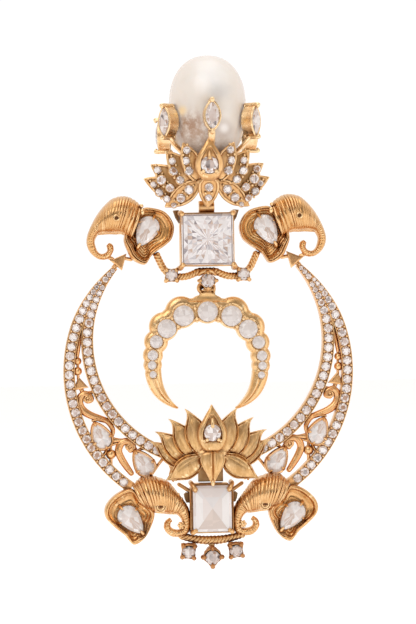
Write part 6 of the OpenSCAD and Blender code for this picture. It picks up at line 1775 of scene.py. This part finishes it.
def build_drop():
    s = Shape()
    C = np.array([0.0, -30.2])
    discs = []
    for x, z, r in DROP_STONES:
        o = scallop((x, z, r))
        for m in ((1,) if x == 0 else (1, -1)):
            discs.append((np.array([(x + o[0]) * m, z + o[1]]), r + 0.72, np.array([x * m, z]), r))
    spine = smooth_line(DROP_HORN, 10)
    tang = np.gradient(spine[:, :2], axis=0)
    tang /= np.linalg.norm(tang, axis=1, keepdims=True)
    sd = np.stack([-tang[:, 1], tang[:, 0]], 1)
    e1, e2 = spine[:, :2] + sd * spine[:, 2:3], spine[:, :2] - sd * spine[:, 2:3]
    ribbon = np.vstack([e1, e2[::-1]])
    cone = np.array([(-3.5, -21.5), (-2.8, -20.62), (-2.0, -20.05), (-1.46, -19.82), (-1.38, -20.08), (-0.80, -20.08), (-0.78, -19.82),
                     (0.78, -19.82), (0.80, -20.08), (1.38, -20.08), (1.46, -19.82), (2.0, -20.05), (2.8, -20.62), (3.5, -21.5), (2.4, -24.0), (-2.4, -24.0)])
    # width of gold inside and outside of every stone
    gold_in = [0.30, 0.30, 0.30, 0.95, 0.90, 0.98, 1.02]
    gold_out = [1.10, 1.58, 1.38, 0.82, 0.66, 0.62, 0.62]
    discs = []
    for i, (x, z, r) in enumerate(DROP_STONES):
        a, b = r + gold_in[i], r + gold_out[i]
        o = unit([x, z + 30.2]) * (b - a) / 2
        for m in ((1,) if x == 0 else (1, -1)):
            discs.append((np.array([(x + o[0]) * m, z + o[1]]), (a + b) / 2, np.array([x * m, z]), r))
    at_angle = np.array([math.atan2(D[0], D[1] + 30.2) for D in DROP_STONES])
    mid_in = [math.hypot(D[0], D[1] + 30.2) - D[2] - g for D, g in zip(DROP_STONES, gold_in)]
    mid_out = [math.hypot(D[0], D[1] + 30.2) + D[2] + g for D, g in zip(DROP_STONES, gold_out)]
    n = 620
    a_end = math.atan2(4.62, -38.42 + 30.2)          # angle of the horn tip from straight up
    phi = np.linspace(-a_end + 0.012, a_end - 0.012, n)

    def span(t):
        d = np.array([math.sin(t), math.cos(t)])
        hits = []
        for c, R, _, _ in discs:
            q = c - C
            b = float(np.dot(q, d))
            k = b * b - float(np.dot(q, q)) + R * R
            if k > 0 and b > 0:
                hits.append((b - math.sqrt(k), b + math.sqrt(k)))
        horn, cap = None, None
        for w, poly in enumerate((ribbon, ribbon * [-1, 1], cone)):
            A, B = poly - C, np.roll(poly, -1, 0) - C
            e = B - A
            den = d[0] * e[:, 1] - d[1] * e[:, 0]
            den = np.where(np.abs(den) < 1e-12, 1e-12, den)
            r = (A[:, 0] * e[:, 1] - A[:, 1] * e[:, 0]) / den
            u = (A[:, 0] * d[1] - A[:, 1] * d[0]) / den
            ok = (u >= 0) & (u <= 1) & (r > 0)
            if ok.sum() >= 2:
                h = (float(r[ok].min()), float(r[ok].max()))
                if w == 2:
                    cap = h
                else:
                    horn = h
        k = abs(t)
        if k < at_angle[-1]:
            # the scallops, with notches of limited depth between them
            size = np.interp(k, at_angle, [D[2] for D in DROP_STONES])
            lo = min(h[0] for h in hits) if hits else 99.0
            hi = max(h[1] for h in hits) if hits else 0.0
            lo = min(lo, float(np.interp(k, at_angle, mid_in)) + 0.12 + 0.13 * size)
            hi = max(hi, float(np.interp(k, at_angle, mid_out)) - 0.14 - 0.32 * size)
            if cap is not None:
                hi = max(hi, cap[1])
            if k > at_angle[-1] - 0.12 and horn is not None:
                g = (k - at_angle[-1] + 0.12) / 0.12
                lo, hi = lo + (horn[0] - lo) * g, hi + (horn[1] - hi) * g
            return lo, hi
        return horn
    E = np.array([span(t) for t in phi])
    inner = np.stack([C[0] + E[:, 0] * np.sin(phi), C[1] + E[:, 0] * np.cos(phi)], 1)
    outer = np.stack([C[0] + E[:, 1] * np.sin(phi), C[1] + E[:, 1] * np.cos(phi)], 1)
    m = 40
    q = (1 - np.cos(np.linspace(0, PI, m))) / 2
    P2 = inner[:, None, :] * (1 - q)[None, :, None] + outer[:, None, :] * q[None, :, None]
    flat = P2.reshape(-1, 2)
    # distance to both edges, so that the notches between scallops run in as creases
    edge = np.full(len(flat), 9.0)
    side_in = np.full(len(flat), 9.0)
    for k in range(0, n, 1):
        edge = np.minimum(edge, np.hypot(flat[:, 0] - outer[k, 0], flat[:, 1] - outer[k, 1]))
        side_in = np.minimum(side_in, np.hypot(flat[:, 0] - inner[k, 0], flat[:, 1] - inner[k, 1]))
    d = np.minimum(edge * 0.80, side_in * 1.15)
    w = 1.0
    x = np.clip(d / w, 0, 1)
    H = 0.30 + 1.0 * np.sqrt(np.maximum(1 - (1 - x) ** 2, 0)) ** 0.85
    # seats of the stones
    for c, R, sc, r in discs:
        g = np.hypot(flat[:, 0] - sc[0], flat[:, 1] - sc[1])
        H = np.where(g < r + 0.02, np.minimum(H, 0.85), H)
        H = np.where((g >= r + 0.02) & (g < r + 0.16), np.minimum(H, 1.18), H)
    # long ridges of the horns
    ph = np.repeat(phi, m)
    s_in = np.tile(q, n)
    horn_k = np.clip((np.abs(ph) - 1.72) / 0.25, 0, 1)
    ridge = 0.14 * np.exp(-((s_in - 0.36) / 0.07) ** 2) - 0.14 * np.exp(-((s_in - 0.52) / 0.06) ** 2)
    wid = np.repeat(E[:, 1] - E[:, 0], m)
    H = H + horn_k * ridge * np.clip(wid / 1.6, 0.1, 1)
    H = np.minimum(H, 0.30 + wid * 0.75)
    H = np.where((flat[:, 1] > -20.9) & (np.abs(flat[:, 0]) < 3.2), np.minimum(H, 0.50 + np.maximum(-19.8 - flat[:, 1], 0) * 0.50), H)
    front = np.stack([flat[:, 0], PLANE - H, flat[:, 1]], 1).reshape(n, m, 3)
    rows = []
    for i in range(n):
        k = min(1.0, (E[i, 1] - E[i, 0]) / 1.2)
        b = [np.array([P2[i, j][0], PLANE + 0.9 * k + (0.28 * k if 3 < j < m - 4 else 0.0), P2[i, j][1]]) for j in range(m - 1, -1, -3)]
        rows.append(list(front[i]) + b)
    s.grid(np.array(rows), wrap_v=True, cap0=True, cap1=True)
    # tongue of the hood, in front of the eye
    G = []
    for z, f, wx in ((-19.30, 0.82, 0.50), (-19.36, 0.87, 0.80), (-19.50, 0.87, 1.10), (-19.66, 0.84, 1.42), (-19.88, 0.80, 1.80), (-20.15, 0.80, 2.20), (-20.5, 0.82, 2.45), (-20.9, 0.86, 2.5)):
        arc = [(wx * math.sin(a), z - 0.06 * (wx * math.sin(a)) ** 2, f - 0.10 * (1 - math.cos(a)), 0.10 + 0.12 * math.cos(a)) for a in np.linspace(-PI / 2, PI / 2, 17)]
        G.append([at(*q[:3]) for q in arc] + [at(q[0] * 0.96, q[1] - 0.02, q[2] - q[3]) for q in arc[::-2]])
    s.grid(np.array(G), wrap_v=True, cap0=True, cap1=True)
    # eye on the bar
    r = revolve([(0.39, -0.58), (0.60, -0.61), (0.78, -0.56), (0.84, -0.42), (0.85, 0.0), (0.84, 0.42), (0.78, 0.56), (0.60, 0.61), (0.39, 0.58)], 36, axis='x')
    # ring of the eye, open along the bar
    n2 = 36
    r.f = [f for f in r.f if len(f) == 4]
    r.s, r.m = [True] * len(r.f), [0] * len(r.f)
    inner_wall = [((8) * n2 + j, (8) * n2 + (j + 1) % n2, (j + 1) % n2, j) for j in range(n2)]
    r.f += inner_wall
    r.s += [True] * n2
    r.m += [0] * n2
    s.merge(r, lambda v: v + np.array([0, PLANE, HINGE_Z]))
    # fine double line that follows the scallops' top and grains between the stones
    order = [0, 1, 2, 3, 4, 5, 6]
    for e in (-1, 1):
        for i in range(6):
            a, b = DROP_STONES[i], DROP_STONES[i + 1]
            pa, pb = np.array([a[0] * e, a[1]]), np.array([b[0] * e, b[1]])
            t = unit(pb - pa)
            nn = np.array([-t[1], t[0]])
            mm = pa + t * (a[2] + (np.linalg.norm(pb - pa) - a[2] - b[2]) / 2)
            rr = min(a[2], b[2])
            off = 0.42 + 0.26 * rr
            for g in (-1, 1):
                p = mm + nn * g * off
                rad = 0.20 + 0.09 * rr
                s.merge(sphere(at(p[0], p[1], 1.18), rad, 10, 14, (1, 1.25, 1)))
                if rr > 1.2:
                    p = mm + nn * g * (off + 0.42)
                    s.merge(sphere(at(p[0], p[1], 1.10), rad * 0.72, 8, 12, (1, 1.2, 1)))
    for x, z, r in DROP_STONES:
        for m2 in ((1,) if x == 0 else (1, -1)):
            b = revolve([(r + 0.00, -0.3), (r + 0.10, -0.3), (r + 0.13, -0.02), (r + 0.09, 0.05), (r + 0.02, 0.02)], 48)
            s.merge(Shape().merge(b, place_front(x * m2, z, 1.20)))
    # it hangs plumb while the frame leans a little
    sway = math.radians(1.3)

    def hang(v):
        x, z = v[:, 0], v[:, 2] - HINGE_Z
        return np.stack([x * math.cos(sway) + z * math.sin(sway), v[:, 1], HINGE_Z + z * math.cos(sway) - x * math.sin(sway)], 1)
    s = Shape().merge(s, hang)
    to_object("drop_crescent_look", s, GOLD_DROP, DROP, ["drop_crescent"], 45)
    for k in range(13):
        i = (k + 1) // 2
        x, z, r = DROP_STONES[i]
        e = 1 if k == 0 or k % 2 == 1 else -1
        g = round_gem(r * 0.985, 0.60, 0.34, 0.62, dome=0.05)
        st = Shape().merge(Shape().merge(g, place_front(x * e, z, 1.26, spin=0.13 * k)), hang)
        to_object("drop_stone_%d_look" % (k + 1), st, CLOUDY, DROP, ["drop_stone_%d" % (k + 1)])


build_post()
build_pearl()
build_crown()
build_upper_lotus()
build_square()
build_elephants()
build_garlands()
build_frame()
build_lower_lotus()
build_lower_setting()
build_drop()


# ------------------------------------------------------------------ floor, light, camera
def build_stage():
    me = bpy.data.meshes.new("floor")
    e, z = 1.6, -0.078
    n = 24
    v, f = [], []
    for i in range(n + 1):
        for j in range(n + 1):
            v.append((-e + 2 * e * i / n, -e + 2 * e * j / n, z))
    for i in range(n):
        for j in range(n):
            a = i * (n + 1) + j
            f.append((a, a + n + 1, a + n + 2, a + 1))
    me.from_pydata(v, [], f)
    m, nt = new_material("floor")
    tc = nt.nodes.new("ShaderNodeTexCoord").outputs["Object"]
    c = mix_color(nt, noise(nt, tc, 40.0), (0.93, 0.95, 0.98), (0.95, 0.97, 1.0))
    p = node(nt, "ShaderNodeBsdfPrincipled", Roughness=0.9)
    nt.links.new(c, p.inputs["Base Color"])
    p.inputs["Emission Color"].default_value = (1, 1, 1, 1)
    p.inputs["Emission Strength"].default_value = 0.25
    out = nt.nodes.new("ShaderNodeOutputMaterial")
    nt.links.new(p.outputs[0], out.inputs["Surface"])
    me.materials.append(m)
    ob = bpy.data.objects.new("floor", me)
    bpy.context.scene.collection.objects.link(ob)


def area(name, loc, target, size, power, color=(1, 1, 1), size_y=None):
    from mathutils import Vector
    l = bpy.data.lights.new(name, "AREA")
    l.shape = "RECTANGLE" if size_y else "SQUARE"
    l.size = size
    if size_y:
        l.size_y = size_y
    l.energy = power
    l.color = color
    o = bpy.data.objects.new(name, l)
    o.location = loc
    o.rotation_euler = (Vector(target) - Vector(loc)).to_track_quat("-Z", "Y").to_euler()
    bpy.context.scene.collection.objects.link(o)
    o.visible_camera = False
    return o


def build_light():
    w = bpy.data.worlds.new("studio")
    bpy.context.scene.world = w
    w.use_nodes = True
    nt = w.node_tree
    nt.nodes.clear()
    tc = nt.nodes.new("ShaderNodeTexCoord").outputs["Generated"]
    sep = nt.nodes.new("ShaderNodeSeparateXYZ")
    nt.links.new(tc, sep.inputs[0])
    # bright behind and above, softer in front so that the metal keeps some contrast
    mp = node(nt, "ShaderNodeMapRange")
    mp.inputs["From Min"].default_value = -1.0
    mp.inputs["From Max"].default_value = 0.35
    mp.inputs["To Min"].default_value = 0.22
    mp.inputs["To Max"].default_value = 1.06
    nt.links.new(sep.outputs["Y"], mp.inputs["Value"])
    bg = node(nt, "ShaderNodeBackground")
    warmth = ramp(nt, sep.outputs["Y"], [(0.0, (1.0, 0.89, 0.78)), (0.02, (1.0, 0.93, 0.85)), (0.35, (1.0, 0.995, 0.99))])
    nt.links.new(warmth, bg.inputs["Color"])
    nt.links.new(mp.outputs[0], bg.inputs["Strength"])
    out = nt.nodes.new("ShaderNodeOutputWorld")
    nt.links.new(bg.outputs[0], out.inputs["Surface"])
    c = (0, -0.004, -0.022)
    area("key", (-0.22, -0.42, 0.34), c, 0.36, 0.80)
    area("fill", (0.42, -0.36, 0.08), c, 0.30, 0.30)
    area("top", (0.0, -0.05, 0.5), c, 0.4, 0.55)


def build_camera():
    from mathutils import Vector, Matrix
    cam = bpy.data.cameras.new("camera")
    cam.lens = 150
    cam.sensor_width = 36
    cam.clip_start, cam.clip_end = 0.01, 20
    o = bpy.data.objects.new("camera", cam)
    bpy.context.scene.collection.objects.link(o)
    target = Vector((0.00008, -0.0045, -0.0226))
    az = math.radians(5.2)
    back = Vector((-math.sin(az), -math.cos(az), 0.0))
    o.location = target + back * 0.429
    rot = (-back).to_track_quat("-Z", "Y").to_matrix().to_4x4()
    roll = Matrix.Rotation(math.radians(-1.0), 4, "Z")
    o.matrix_world = Matrix.Translation(o.location) @ rot @ roll
    bpy.context.scene.camera = o


build_stage()
build_light()
build_camera()
sc = bpy.context.scene
sc.view_settings.view_transform = "Standard"
sc.view_settings.look = "None"
sc.view_settings.exposure = 0.0
